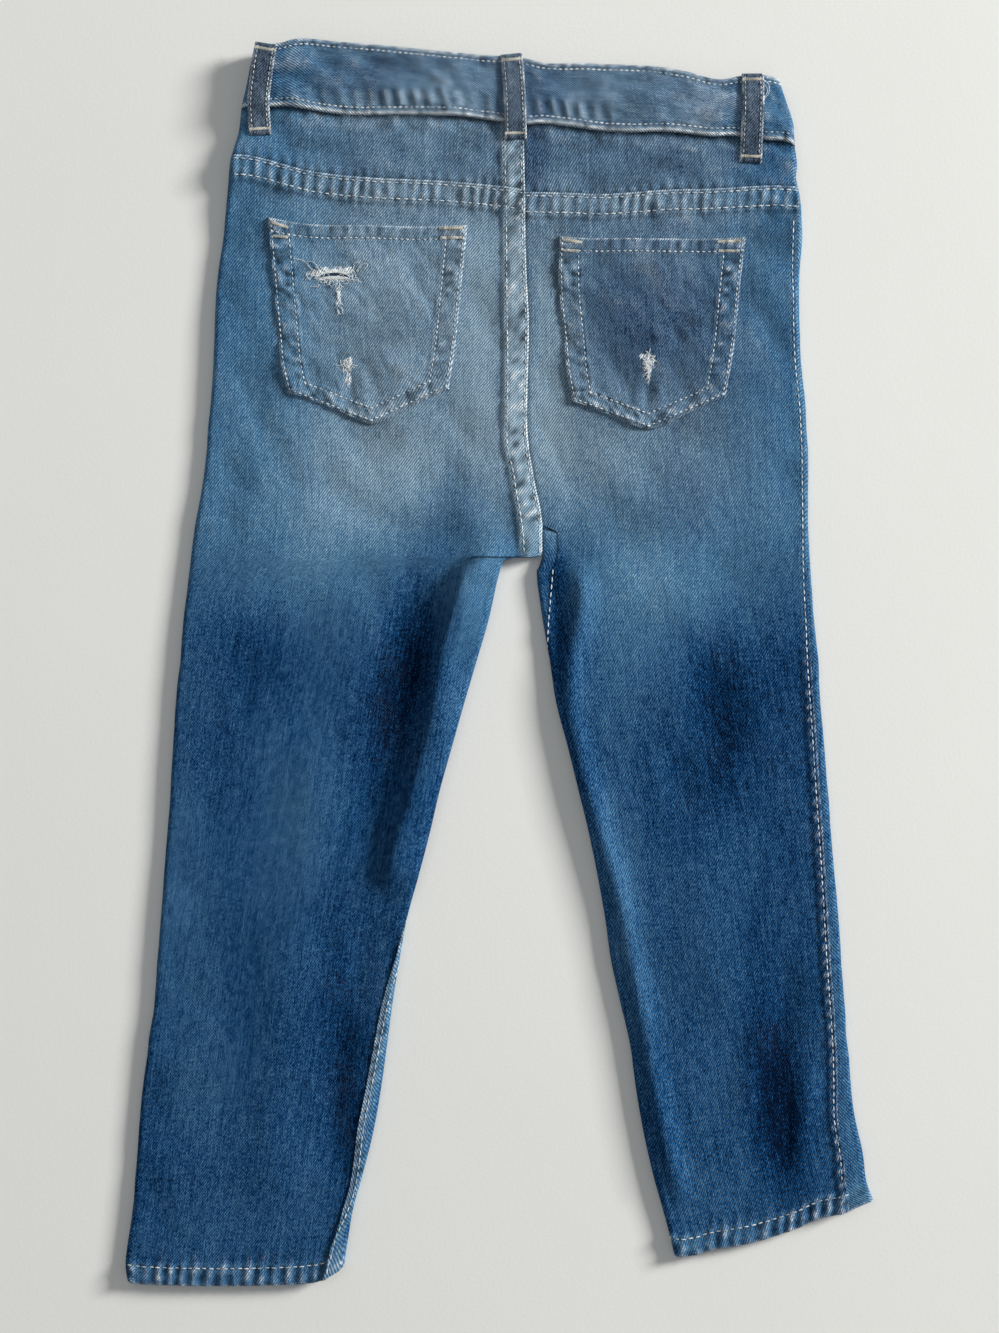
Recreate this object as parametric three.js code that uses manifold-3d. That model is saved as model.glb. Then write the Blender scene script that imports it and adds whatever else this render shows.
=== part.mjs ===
// Toddler's ripped jeans, laid flat on a surface with the back showing.
// Millimetres: +X to the right, +Y toward the waist, +Z up from the surface.
// The wearer's left is at -X. The front lies underneath at z = 0 and the back lies on it.
// Front and back meet in rounded folds at the sides, so the legs and seat are flattened tubes.

import * as THREE from 'three';
import Module from 'manifold-3d';

const wasm = await Module();
wasm.setup();

// Walls and clearances
const CLOTH = 1.4;
const BAND_WALL = 2.0;
const SEAM_GAP = 0.3;
const LAY_GAP = 0.4;

// Heights of the middle of the cloth over the surface
const FRONT_Z = CLOTH / 2;
const BACK_Z = 3.9;
const FRONT_WAIST_Z = 3.0;
const BACK_WAIST_Z = 6.7;
const BACK_CENTRE_Z = 7.1;

// Outlines of the laid garment as [y, x] points, from the waist down
const LEFT_FOLD = smooth([
  [289, -115.5], [270, -119], [250, -122.5], [230, -126.8], [200, -130], [160, -134.1],
  [120, -136.1], [80, -140.4], [40, -146.4], [0, -150.5], [-60, -154.7], [-120, -159.5],
  [-180, -165.3], [-240, -171.6], [-290, -176],
]);
const RIGHT_FOLD = smooth([
  [273.5, 131], [260, 135.5], [245, 138.8], [218, 141.8], [190, 142], [160, 141.2],
  [120, 144.2], [60, 145.6], [0, 150], [-60, 154.4], [-120, 159.5], [-180, 163.8],
  [-220, 169], [-253, 176],
]);
const LEFT_INSIDE = smooth([
  [50, 2], [20, -5], [-20, -16.7], [-60, -27.9], [-120, -43.3], [-180, -52.9],
  [-220, -59.1], [-260, -69.4], [-284, -73.5],
]);
const RIGHT_INSIDE = smooth([
  [50, 18.6], [30, 18.9], [10, 22.5], [-20, 26.8], [-60, 37], [-120, 49.6],
  [-180, 61.4], [-220, 67.5], [-260, 77.4], [-281, 82.3],
]);
const CENTRE_SEAM = smooth([
  [254, 11.5], [220, 12], [160, 13.6], [110, 13], [80, 17.4], [52, 20.2],
]);

// How far each leg seam lies from its fold: above 0 on the back, below 0 underneath
const LEFT_OUTSEAM = smooth([[258, -1], [100, -5], [-290, -10]]);
const LEFT_INSEAM = smooth([
  [52, 0], [-60, -0.5], [-110, 0], [-160, 4.8], [-220, 7.2], [-250, 5.2], [-290, 11],
]);
const RIGHT_OUTSEAM = smooth([
  [258, 2.2], [205, 2.6], [135, 2.2], [60, 2.2], [0, 3.4], [-100, 4.5], [-190, 6], [-255, 11],
]);
const RIGHT_INSEAM = smooth([[52, 2.5], [42, 5], [30, 5.2], [8, 0], [-20, -3], [-280, -8]]);

// The crotch, and where the rows of cloth run across each side
const CROTCH_Y = 52;
const LEFT = {
  side: -1,
  fold: LEFT_FOLD,
  inside: LEFT_INSIDE,
  outseam: LEFT_OUTSEAM,
  inseam: LEFT_INSEAM,
  yoke: [237.3, 221.3],
  yokeBow: -2.6,
  crotch: [[51, 19.8, 52.4], [41, 9.5, 49.6], [30, 1, 45]],
  hem: [-289.5, -283],
  hemBow: -6,
};
const RIGHT = {
  side: 1,
  fold: RIGHT_FOLD,
  inside: RIGHT_INSIDE,
  outseam: RIGHT_OUTSEAM,
  inseam: RIGHT_INSEAM,
  yoke: [222.6, 221.3],
  yokeBow: -1,
  crotch: [[51, 21.2, 52], [40, 20, 47]],
  hem: [-252.5, -280.5],
  hemBow: -3.5,
};

// Rows of cloth between the landmarks, and cells across the open middle of a panel
const YOKE_ROWS = 2;
const SEAT_ROWS = 7;
const LEG_ROWS = 13;
const BACK_CELLS = 12;
const FRONT_CELLS = 4;

// The largest folds of the back: a ridge or trough along a path, with its half width
const FOLDS = [
  ridge(2.0, 8, 62, -135, [[57, 6], [44, -10], [30, -19], [10, -25], [-20, -30], [-65, -43], [-120, -58]]),
  ridge(-1.4, 11, 45, -105, [[40, -32], [5, -44], [-45, -50], [-100, -66]]),
  ridge(-1.2, 8, -105, -255, [[-110, -61], [-140, -66], [-190, -75], [-250, -75]]),
  ridge(0.9, 16, -80, -292, [[-80, -92], [-200, -104], [-290, -112]]),
  ridge(1.7, 6, 62, -90, [[57, 35], [38, 39], [20, 38], [0, 34], [-20, 35], [-80, 48]]),
  ridge(-1.2, 10, 30, -85, [[30, 104], [-25, 103], [-80, 95]]),
  ridge(-1.3, 7, -140, -262, [[-140, 137], [-185, 131], [-210, 125], [-250, 131]]),
  ridge(0.9, 14, -95, -285, [[-95, 88], [-190, 100], [-280, 112]]),
  ridge(0.8, 22, 110, 55, [[110, -60], [55, -75]]),
  ridge(0.7, 24, 120, 30, [[120, 90], [30, 80]]),
];

// Waistband: one strip round the waist, its ends lapped at the centre front
const BAND_LOW = { outer: [-121.6, 259.2], inner: [138.4, 243.9] };
const BAND_TOP = { outer: [-115.9, 288.9], inner: [131.2, 273.4] };
// How far its upper edge rises over a straight line, at fractions of the way across
const BAND_CREST = smooth([[1, 0], [0.86, -1.5], [0.67, 1.5], [0.47, 2.4], [0.23, 4], [0.1, 4.9], [0, 0]]);
const FRONT_DIP = 7;
const LAP = 15;
const LAP_RAMP = 14;
const FRONT_CENTRE = 6;

// Belt loops: [x at the bottom, y at the bottom, x at the top, y at the top]
const LOOP_WIDTH = 10.5;
const BACK_LOOPS = {
  left: [-112.2, 246.8, -109.4, 288.0],
  centre: [7.3, 244.6, 6.0, 283.2],
  right: [117.8, 233.9, 118.6, 274.0],
};
const FRONT_LOOPS = { left: [-56, 239, -54, 279], right: [68, 233, 66, 272] };

// Back pockets as corners: top left, top right, bottom right, tip, bottom left
const POCKET_LEFT = [[-109, 208], [-15.3, 204.6], [-23.7, 128.3], [-60, 111.5], [-100.2, 126.9]];
const POCKET_RIGHT = [[28, 199.6], [115.4, 199.2], [106.2, 124], [70, 109], [34.3, 121.6]];
const POCKET_CELLS = 4;
const POCKET_ROWS = 6;
const SLIT = { x: -77.5, y: 180.4, length: 14, height: 1.3, rise: 1.1 };

// Waist button
const BUTTON_RADIUS = 8.5;
const BUTTON_HEIGHT = 1.3;

const denim = cloth(0x3f6a90);
const faded = cloth(0x55809f);
const pale = cloth(0x6d8ea6);
const grey = cloth(0x7d93a3);
const metal = new THREE.MeshStandardMaterial({ color: 0xa8a096, roughness: 0.4, metalness: 0.9 });

function cloth(color) {
  return new THREE.MeshStandardMaterial({ color, roughness: 0.95, metalness: 0 });
}

// A smooth function through points whose first numbers run downward
function smooth(points) {
  const last = points.length - 1;
  const slopes = points.map((_, k) => {
    const [from, to] = [points[Math.max(k - 1, 0)], points[Math.min(k + 1, last)]];
    return (to[1] - from[1]) / (to[0] - from[0]);
  });
  return (y) => {
    let k = 0;
    while (k < last - 1 && y < points[k + 1][0]) k += 1;
    const step = points[k + 1][0] - points[k][0];
    const rise = points[k + 1][1] - points[k][1];
    const t = (y - points[k][0]) / step;
    const [a, b] = [slopes[k] * step, slopes[k + 1] * step];
    return points[k][1] + t * (a + t * (3 * rise - 2 * a - b + t * (a + b - 2 * rise)));
  };
}

function ridge(height, halfWidth, top, bottom, path) {
  return { height, halfWidth, top, bottom, across: smooth(path) };
}

function blend(from, to, t) {
  return from + (to - from) * t;
}

// Middle of the front cloth: flat on the surface, lifted at the waist by its button and loops
function frontZ(x, y) {
  return blend(FRONT_Z, FRONT_WAIST_Z, THREE.MathUtils.smoothstep(y, 206, 232));
}

// Middle of the back cloth: low over the legs, higher over the waist, with the large folds
function backZ(x, y) {
  const waist = blend(BACK_WAIST_Z, BACK_CENTRE_Z, Math.exp(-(((x - FRONT_CENTRE) / 60) ** 2)));
  let z = blend(BACK_Z, waist, THREE.MathUtils.smoothstep(y, 200, 246));
  for (const { height, halfWidth, top, bottom, across } of FOLDS) {
    const fade = 0.2 * (top - bottom);
    const { smoothstep } = THREE.MathUtils;
    const length = smoothstep(y, bottom, bottom + fade) * (1 - smoothstep(y, top - fade, top));
    z += height * length * Math.exp(-(((x - across(y)) / halfWidth) ** 2));
  }
  return z;
}

// Where a path that leaves a fold at distance d lies: its way in from the fold, and how far it
// has turned from the far layer (0) to its own layer (1)
function roundFold(d, radius) {
  const turn = THREE.MathUtils.clamp(d / radius, -1, 1) * Math.PI / 2;
  const inward = Math.abs(d) < radius ? radius * (1 - Math.cos(turn)) : Math.abs(d);
  return { inward, layer: (1 + Math.sin(turn)) / 2 };
}

// A row of a flattened tube: its two ends, and the fold radius at each
function tubeRow(outer, inner, bow, closed, seams = [0, 0]) {
  const radius = ([x, y]) => (backZ(x, y) - frontZ(x, y)) / 2;
  const width = Math.hypot(inner[0] - outer[0], inner[1] - outer[1]);
  return { outer, inner, bow, closed, seams, width, radii: [radius(outer), radius(inner)] };
}

// The point of a row at a distance from its outer fold, on the back (1) or the front (-1)
function tubePoint(row, along, layer) {
  const start = roundFold(along, row.radii[0]);
  const end = row.closed ? roundFold(row.width - along, row.radii[1]) : { inward: 0, layer: 1 };
  const nearEnd = row.closed && along > row.width / 2;
  const across = nearEnd ? row.width - end.inward : start.inward;
  const u = across / row.width;
  const x = blend(row.outer[0], row.inner[0], u);
  const y = blend(row.outer[1], row.inner[1], u) + row.bow * 4 * u * (1 - u);
  const own = nearEnd ? end.layer : start.layer;
  const t = layer > 0 ? own : 1 - own;
  return new THREE.Vector3(x, y, blend(frontZ(x, y), backZ(x, y), t));
}

// Distances from a fold at which a panel has points: its seam, then round the fold
function foldSteps(seam, radius) {
  return [0, 1, 2, 3, 4, 5].map((k) => (k ? Math.max(seam + 0.5 * k, (k - 3) * radius / 2) : seam));
}

// A row's points, with one more past each end that only steadies the slope there
function rowPoints(row, layer, cells) {
  const start = foldSteps(layer * row.seams[0], row.radii[0]);
  const end = foldSteps(row.closed ? layer * row.seams[1] : 0, row.radii[1]);
  const from = start.at(-1);
  const to = row.width - end.at(-1);
  const middle = Array.from({ length: cells - 1 }, (_, k) => blend(from, to, (k + 1) / cells));
  const stops = [...start, ...middle, ...end.reverse().map((d) => row.width - d)];
  const past = [stops[0] - 0.5, ...stops, stops.at(-1) + 0.5];
  return past.map((along) => tubePoint(row, along, layer));
}

// Rows of one side of the garment, in three stretches: waist to yoke, seat, and leg
function sideRows(side) {
  const { fold, inside, outseam, inseam } = side;
  const stretch = (count, from, to, row) => Array.from({ length: count }, (_, k) => {
    const t = k / count;
    return row(blend(from[0], to[0], t), blend(from[1], to[1], t), t);
  });
  const seatRow = (bow) => (outerY, innerY, t) =>
    tubeRow([fold(outerY), outerY], [CENTRE_SEAM(innerY), innerY], bow(t), false, [outseam(outerY), 0]);
  const seatEnd = [side.crotch[0][0] + 12, CROTCH_Y + 8];
  const legStart = side.crotch.at(-1);
  const hemBow = (t) => side.hemBow * THREE.MathUtils.smoothstep(t, 0.6, 1);
  const legRow = (outerY, innerY, t) => tubeRow(
    [fold(outerY), outerY], [inside(innerY), innerY], hemBow(t), true, [outseam(outerY), inseam(innerY)],
  );
  const waistEnds = [fold(250), CENTRE_SEAM(250)].map((x) => bandEdge(x) - SEAM_GAP / 2);
  const seat = stretch(SEAT_ROWS, side.yoke, seatEnd, seatRow((t) => side.yokeBow * (1 - t)));
  const crotch = side.crotch.map(([outerY, x, y]) =>
    tubeRow([fold(outerY), outerY], [x, y], 0, true, [outseam(outerY), inseam(y)]));
  const legFrom = [legStart[0] - 10, legStart[2] - 10];
  return {
    yoke: [
      ...stretch(YOKE_ROWS, waistEnds, side.yoke, seatRow((t) => side.yokeBow * t)),
      seat[0],
    ],
    leg: [
      ...seat, seatRow(() => 0)(...seatEnd, 1), ...crotch,
      ...stretch(LEG_ROWS, legFrom, side.hem, legRow), legRow(...side.hem, 1),
    ],
  };
}

// The front's rows at the waist dip below the back's
function frontRows(rows) {
  const dipped = rows.yoke.slice(0, -1).map((row, k) => {
    const dip = FRONT_DIP * (1 - k / YOKE_ROWS);
    const inner = [row.inner[0], row.inner[1] - dip];
    return tubeRow(row.outer, inner, row.bow - dip / 4, false, row.seams);
  });
  return [...dipped, ...rows.leg];
}

// Moves the border of a grid of points in by half a seam gap
function insetBorder(grid) {
  const pull = (edge, next) => edge.map((point, k) => {
    const reach = next[k].clone().sub(point);
    return point.clone().addScaledVector(reach.normalize(), SEAM_GAP / 2);
  });
  const rows = [...grid];
  rows[0] = pull(grid[0], grid[1]);
  rows[rows.length - 1] = pull(grid.at(-1), grid.at(-2));
  return rows.map((row) => {
    const [first] = pull([row[0]], [row[1]]);
    const [last] = pull([row.at(-1)], [row.at(-2)]);
    return [first, ...row.slice(1, -1), last];
  });
}

function gridNormals(grid) {
  const [rows, columns] = [grid.length, grid[0].length];
  return grid.map((row, r) => row.map((_, c) => {
    const across = row[Math.min(c + 1, columns - 1)].clone().sub(row[Math.max(c - 1, 0)]);
    const down = grid[Math.min(r + 1, rows - 1)][c].clone().sub(grid[Math.max(r - 1, 0)][c]);
    return across.cross(down).normalize();
  }));
}

// A closed wall of even thickness about a grid of points
function wall(grid, thickness, normals = gridNormals(grid)) {
  const [rows, columns] = [grid.length, grid[0].length];
  const positions = [];
  for (const side of [0.5, -0.5]) {
    grid.forEach((row, r) => row.forEach((point, c) => {
      positions.push(...point.clone().addScaledVector(normals[r][c], side * thickness).toArray());
    }));
  }
  const sheet = rows * columns;
  const at = (r, c, layer) => layer * sheet + r * columns + c;
  const indices = [];
  const quad = (a, b, c, d) => indices.push(a, b, c, a, c, d);
  for (let c = 0; c < columns - 1; c += 1) {
    quad(at(0, c, 0), at(0, c + 1, 0), at(0, c + 1, 1), at(0, c, 1));
    quad(at(rows - 1, c, 1), at(rows - 1, c + 1, 1), at(rows - 1, c + 1, 0), at(rows - 1, c, 0));
  }
  for (let r = 0; r < rows - 1; r += 1) {
    quad(at(r, 0, 1), at(r + 1, 0, 1), at(r + 1, 0, 0), at(r, 0, 0));
    quad(at(r, columns - 1, 0), at(r + 1, columns - 1, 0), at(r + 1, columns - 1, 1), at(r, columns - 1, 1));
  }
  for (let r = 0; r < rows - 1; r += 1) {
    for (let c = 0; c < columns - 1; c += 1) {
      quad(at(r, c, 0), at(r + 1, c, 0), at(r + 1, c + 1, 0), at(r, c + 1, 0));
      quad(at(r, c, 1), at(r, c + 1, 1), at(r + 1, c + 1, 1), at(r + 1, c, 1));
    }
  }
  return facingOut(positions, indices);
}

// A closed geometry whose faces point out, whichever way its grid ran
function facingOut(positions, indices) {
  const corner = (k) => new THREE.Vector3().fromArray(positions, 3 * indices[k]);
  let volume = 0;
  for (let k = 0; k < indices.length; k += 3) {
    volume += corner(k).dot(corner(k + 1).cross(corner(k + 2)));
  }
  const geometry = new THREE.BufferGeometry();
  geometry.setAttribute('position', new THREE.Float32BufferAttribute(positions, 3));
  const turned = indices.map((_, k) => indices[k + [0, 1, -1][k % 3]]);
  geometry.setIndex(volume < 0 ? turned : indices);
  return geometry;
}

function legPanel(rows, layer, cells) {
  const grid = rows.map((row) => rowPoints(row, layer, cells));
  const inner = (values) => values.map((row) => row.slice(1, -1));
  return wall(insetBorder(inner(grid)), CLOTH, inner(gridNormals(grid)));
}

// Lower edge, middle and upper edge of the waistband as rows of a flattened tube
function bandRows() {
  return [0, 0.5, 1].map((t) => {
    const mix = (key) => BAND_LOW[key].map((value, k) => blend(value, BAND_TOP[key][k], t));
    return { ...tubeRow(mix('outer'), mix('inner'), 0, true), crest: t };
  });
}

// The strip runs from its lower end round the left fold, over the back and round to its upper end
function waistband() {
  const thicker = (BAND_WALL - CLOTH) / 2;
  const grid = bandRows().map((row) => {
    const lowerEnd = -(FRONT_CENTRE + LAP - row.outer[0]);
    const upperEnd = row.width + (row.inner[0] - FRONT_CENTRE + LAP);
    const turns = (radius) => [-1, -0.5, 0, 0.5, 1].map((k) => k * radius * 1.3);
    const stops = [
      lowerEnd, lowerEnd * 0.66, lowerEnd * 0.33, ...turns(row.radii[0]),
      ...Array.from({ length: 13 }, (_, k) => row.width * (k + 1) / 14),
      ...turns(row.radii[1]).map((d) => row.width + d),
      row.width + (upperEnd - row.width) * 0.35,
      upperEnd - 2 * LAP - LAP_RAMP - 2, upperEnd - 2 * LAP - 2, upperEnd - LAP, upperEnd,
    ];
    return stops.map((along) => bandPoint(row, along, thicker, upperEnd));
  });
  return wall(grid, BAND_WALL);
}

// A point of the waistband, which stands proud of the panels and dips at the front
function bandPoint(row, along, thicker, upperEnd) {
  const point = tubePoint(row, along, 1);
  const middle = (frontZ(point.x, point.y) + backZ(point.x, point.y)) / 2;
  const half = (backZ(point.x, point.y) - frontZ(point.x, point.y)) / 2;
  const turned = (point.z - middle) / half;
  point.z += turned * thicker;
  const u = (point.x - row.outer[0]) / (row.inner[0] - row.outer[0]);
  point.y += row.crest * BAND_CREST(u) - FRONT_DIP * 4 * u * (1 - u) * (1 - turned) / 2;
  const lapped = upperEnd - 2 * LAP - LAP_RAMP - 2;
  point.z += (BAND_WALL + SEAM_GAP) * THREE.MathUtils.smoothstep(along, lapped, lapped + LAP_RAMP);
  return point;
}

// Where the lower edge of the waistband lies over x
function bandEdge(x) {
  const u = (x - BAND_LOW.outer[0]) / (BAND_LOW.inner[0] - BAND_LOW.outer[0]);
  return blend(BAND_LOW.outer[1], BAND_LOW.inner[1], u);
}

// Outer face of what a piece on the back lies on: a panel, or the thicker waistband
function backFace(x, y) {
  const edge = bandEdge(x);
  const onBand = THREE.MathUtils.smoothstep(y, edge - 6, edge - 1.5);
  return backZ(x, y) + CLOTH / 2 + (BAND_WALL - CLOTH) * onBand;
}

// A belt loop: a strap from its lower tack over the waistband to its upper tack
function beltLoop([lowX, lowY, topX, topY], height) {
  const rows = 8;
  const grid = Array.from({ length: rows + 1 }, (_, r) => [-1, 0, 1].map((side) => {
    const x = blend(lowX, topX, r / rows) + side * LOOP_WIDTH / 2;
    const y = blend(lowY, topY, r / rows);
    return new THREE.Vector3(x, y, height(x, y));
  }));
  return wall(grid, CLOTH);
}

// A patch pocket made from the points of the back under it, moved out
function pocket([topLeft, topRight, lowRight, tip, lowLeft]) {
  const tipAt = (tip[0] - lowLeft[0]) / (lowRight[0] - lowLeft[0]);
  const columns = [];
  for (let k = 0; k <= 2 * POCKET_CELLS; k += 1) {
    columns.push(k <= POCKET_CELLS ? tipAt * k / POCKET_CELLS : blend(tipAt, 1, k / POCKET_CELLS - 1));
  }
  const lower = (u) => (u <= tipAt
    ? blend(lowLeft[1], tip[1], u / tipAt)
    : blend(tip[1], lowRight[1], (u - tipAt) / (1 - tipAt)));
  const grid = Array.from({ length: POCKET_ROWS + 1 }, (_, r) => columns.map((u) => {
    const v = r / POCKET_ROWS;
    const x = blend(blend(topLeft[0], topRight[0], u), blend(lowLeft[0], lowRight[0], u), v);
    const y = blend(blend(topLeft[1], topRight[1], u), lower(u), v);
    return new THREE.Vector3(x, y, backZ(x, y) + CLOTH + LAY_GAP);
  }));
  return wall(grid, CLOTH);
}

// The rip in the left pocket: a thin crescent that goes through the cloth
function slitTool() {
  const crescent = new THREE.Shape();
  const half = SLIT.length / 2;
  crescent.moveTo(-half, 0);
  crescent.quadraticCurveTo(0, 2 * SLIT.rise - SLIT.height, half, 0);
  crescent.quadraticCurveTo(0, 2 * SLIT.rise + SLIT.height, -half, 0);
  const tool = new THREE.ExtrudeGeometry(crescent, { depth: 12, bevelEnabled: false, curveSegments: 6 });
  tool.translate(SLIT.x, SLIT.y, 0);
  return tool;
}

function toManifold(geometry) {
  const source = geometry.index ? geometry : merged(geometry);
  return new wasm.Manifold(new wasm.Mesh({
    numProp: 3,
    vertProperties: new Float32Array(source.attributes.position.array),
    triVerts: new Uint32Array(source.index.array),
  }));
}

// Shares the corners of a geometry that repeats them for each triangle
function merged(geometry) {
  const place = new Map();
  const positions = [];
  const indices = [];
  const { position } = geometry.attributes;
  for (let k = 0; k < position.count; k += 1) {
    const point = [position.getX(k), position.getY(k), position.getZ(k)];
    const key = point.map((value) => value.toFixed(4)).join();
    if (!place.has(key)) {
      place.set(key, positions.length / 3);
      positions.push(...point);
    }
    indices.push(place.get(key));
  }
  return facingOut(positions, indices);
}

function subtract(body, tool) {
  const { vertProperties, triVerts } = toManifold(body).subtract(toManifold(tool)).getMesh();
  const geometry = new THREE.BufferGeometry();
  geometry.setAttribute('position', new THREE.BufferAttribute(vertProperties, 3));
  geometry.setIndex(new THREE.BufferAttribute(triVerts, 1));
  return geometry;
}

// A flat metal button with a raised rim, its face down on the surface
function waistButton() {
  const [r, h] = [BUTTON_RADIUS, BUTTON_HEIGHT];
  const profile = [[0, 0.3], [r - 2.2, 0.3], [r - 1.6, 0], [r - 0.5, 0], [r, 0.5], [r - 0.4, h], [0, h]];
  const button = new THREE.LatheGeometry(profile.map(([x, y]) => new THREE.Vector2(x, y)), 24);
  button.rotateX(Math.PI / 2);
  return button;
}

const jeans = new THREE.Group();

function add(name, geometry, material) {
  const mesh = new THREE.Mesh(geometry, material);
  mesh.name = name;
  jeans.add(mesh);
  return mesh;
}

for (const [name, side] of Object.entries({ left: LEFT, right: RIGHT })) {
  const rows = sideRows(side);
  add(`front_leg_${name}`, legPanel(frontRows(rows), -1, FRONT_CELLS), denim);
  add(`back_leg_${name}`, legPanel(rows.leg, 1, BACK_CELLS), faded);
  add(`back_yoke_${name}`, legPanel(rows.yoke, 1, BACK_CELLS), faded);
}

add('waistband', waistband(), denim);
add('back_pocket_left', subtract(pocket(POCKET_LEFT), slitTool()), pale);
add('back_pocket_right', pocket(POCKET_RIGHT), pale);

for (const [name, run] of Object.entries(BACK_LOOPS)) {
  const height = (x, y) => backFace(x, y) + LAY_GAP + CLOTH / 2;
  add(`belt_loop_back_${name}`, beltLoop(run, height), grey);
}
for (const [name, run] of Object.entries(FRONT_LOOPS)) {
  add(`belt_loop_front_${name}`, beltLoop(run, () => CLOTH / 2), grey);
}

const button = add('waist_button', waistButton(), metal);
button.position.set(FRONT_CENTRE, 259, 0);

export default jeans;
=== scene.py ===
# Small child's ripped jeans, laid flat with the back showing: cloth, stitching, wear and stage.
# Lengths of the cloth are millimetres; meshes, settings, materials and the stage are in metres.
# +X to the wearer's right, +Y toward the waist, +Z up from the surface.
import math

import bpy
import numpy as np
from bpy.props import FloatProperty, FloatVectorProperty, IntProperty, PointerProperty
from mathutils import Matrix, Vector
from mathutils.bvhtree import BVHTree


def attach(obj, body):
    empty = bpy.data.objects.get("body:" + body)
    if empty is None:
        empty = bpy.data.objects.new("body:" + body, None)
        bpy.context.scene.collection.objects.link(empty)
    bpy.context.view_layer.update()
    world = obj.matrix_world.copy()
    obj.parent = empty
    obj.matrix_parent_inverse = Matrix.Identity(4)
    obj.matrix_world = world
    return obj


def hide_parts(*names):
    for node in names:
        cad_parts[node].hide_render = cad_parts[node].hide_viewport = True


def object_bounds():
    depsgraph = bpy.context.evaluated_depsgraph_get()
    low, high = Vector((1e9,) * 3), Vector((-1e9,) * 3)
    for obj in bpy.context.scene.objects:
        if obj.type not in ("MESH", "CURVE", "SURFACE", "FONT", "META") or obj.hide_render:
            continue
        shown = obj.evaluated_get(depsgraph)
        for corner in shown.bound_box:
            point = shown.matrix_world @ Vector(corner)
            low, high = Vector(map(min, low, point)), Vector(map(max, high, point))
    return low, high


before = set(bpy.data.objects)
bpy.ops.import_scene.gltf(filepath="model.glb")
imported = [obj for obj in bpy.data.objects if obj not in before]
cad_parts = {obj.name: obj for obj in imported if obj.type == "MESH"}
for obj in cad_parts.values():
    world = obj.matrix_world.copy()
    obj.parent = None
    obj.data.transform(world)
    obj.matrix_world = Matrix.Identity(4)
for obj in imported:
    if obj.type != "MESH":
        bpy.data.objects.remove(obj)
CAD_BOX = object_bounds()

bl_info = {
    "name": "Ripped jeans",
    "version": (1, 0, 0),
    "blender": (4, 5, 0),
    "location": "3D View > Sidebar > Jeans",
    "description": "Builds small ripped jeans laid flat, with their seams, stitches, wear and stage",
    "category": "Object",
}

MM = 0.001
WALL = 1.2
LEG_TOP = 4.6
WAIST_TOP = 7.4
FOLD_RADIUS = LEG_TOP / 2
PANEL_STEP = 1.06
FRONT_STEP = 5.0
YOKE_STEP = 0.85
POCKET_STEP = 0.6
STRAP_STEP = 0.7
STITCH_LIFT = 0.12
FRAY_STEP = 0.5
FINE_PITCH = 0.0026
YOKE_ROWS = (1.8, 9.3)
HEM_ROW = 8.3
BAND_ROWS = (3.0, 3.6)
BAND_PROUD = 1.8
BAND_WALL = 1.9
BAND_ENDS = (13.5, -1.5)
FRONT_BAND_LOW = 1.7
FRONT_DIP = 7.0
LOOP_WIDTH = 10.5
LOOP_WALL = 1.1
LOOP_GREY = 0.6
LOOP_FADE = -0.1
FRONT_FADE = 0.13
# How far the face of a pocket or a loop stands over the cloth that it is sewn to
PATCH_LIFT = 1.35
POCKET_ROWS = (1.5, 9.5, 7.0)
POCKET_HEM = 6.4
# Height and middle of the camera's view at the cloth, in metres, from the length of the jeans
CAD_FRAMED = round(1.0722 * (CAD_BOX[1][1] - CAD_BOX[0][1]), 4)
FRAMED_Y = round((CAD_BOX[0][1] + CAD_BOX[1][1]) / 2 - 0.002, 4)


# ---------------------------------------------------------------- curves and noise

def curve(*points):
    """A smooth function through (t, value) points with t rising, level past its ends."""
    knots, values = np.array(points, float).T
    slopes = np.gradient(values, knots)

    def at(t):
        t = np.clip(np.asarray(t, float), knots[0], knots[-1])
        k = np.clip(np.searchsorted(knots, t) - 1, 0, len(knots) - 2)
        step = knots[k + 1] - knots[k]
        u = (t - knots[k]) / step
        rise = values[k + 1] - values[k]
        a, b = slopes[k] * step, slopes[k + 1] * step
        return values[k] + u * (a + u * (3 * rise - 2 * a - b + u * (a + b - 2 * rise)))

    return at


def smoothstep(t, low=0.0, high=1.0):
    u = np.clip((t - low) / (high - low), 0, 1)
    return u * u * (3 - 2 * u)


def noise(x, y, cell, seed):
    """Smooth random values from -1 to 1 over the plane, in blobs about a cell wide and high."""
    wide, high = cell if isinstance(cell, tuple) else (cell, cell)
    table = np.random.default_rng(seed).uniform(-1, 1, (64, 64))
    u, v = np.asarray(x, float) / wide, np.asarray(y, float) / high
    i, j = np.floor(u).astype(int), np.floor(v).astype(int)
    a, b = smoothstep(u - i), smoothstep(v - j)

    def corner(di, dj):
        return table[(i + di) % 64, (j + dj) % 64]

    low = corner(0, 0) * (1 - a) + corner(1, 0) * a
    high_row = corner(0, 1) * (1 - a) + corner(1, 1) * a
    return low * (1 - b) + high_row * b


def plateau(d, low, high, soft):
    """1 between low and high, falling to 0 over a soft distance past each."""
    return smoothstep(d, low - soft, low) * (1 - smoothstep(d, high, high + soft))


def bump(d, width):
    return np.exp(-(d / width) ** 2)


def resample(points, step):
    """Evenly spaced points on a smooth line through a few."""
    points = np.array(points, float)
    reach = np.r_[0, np.cumsum(np.linalg.norm(np.diff(points, axis=0), axis=1))]
    stops = np.linspace(0, reach[-1], max(2, int(round(reach[-1] / step)) + 1))
    if len(points) == 2:
        return np.stack([np.interp(stops, reach, c) for c in points.T], axis=1)
    return np.stack([curve(*zip(reach, c))(stops) for c in points.T], axis=1)


# ---------------------------------------------------------------- outlines and seams

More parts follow.
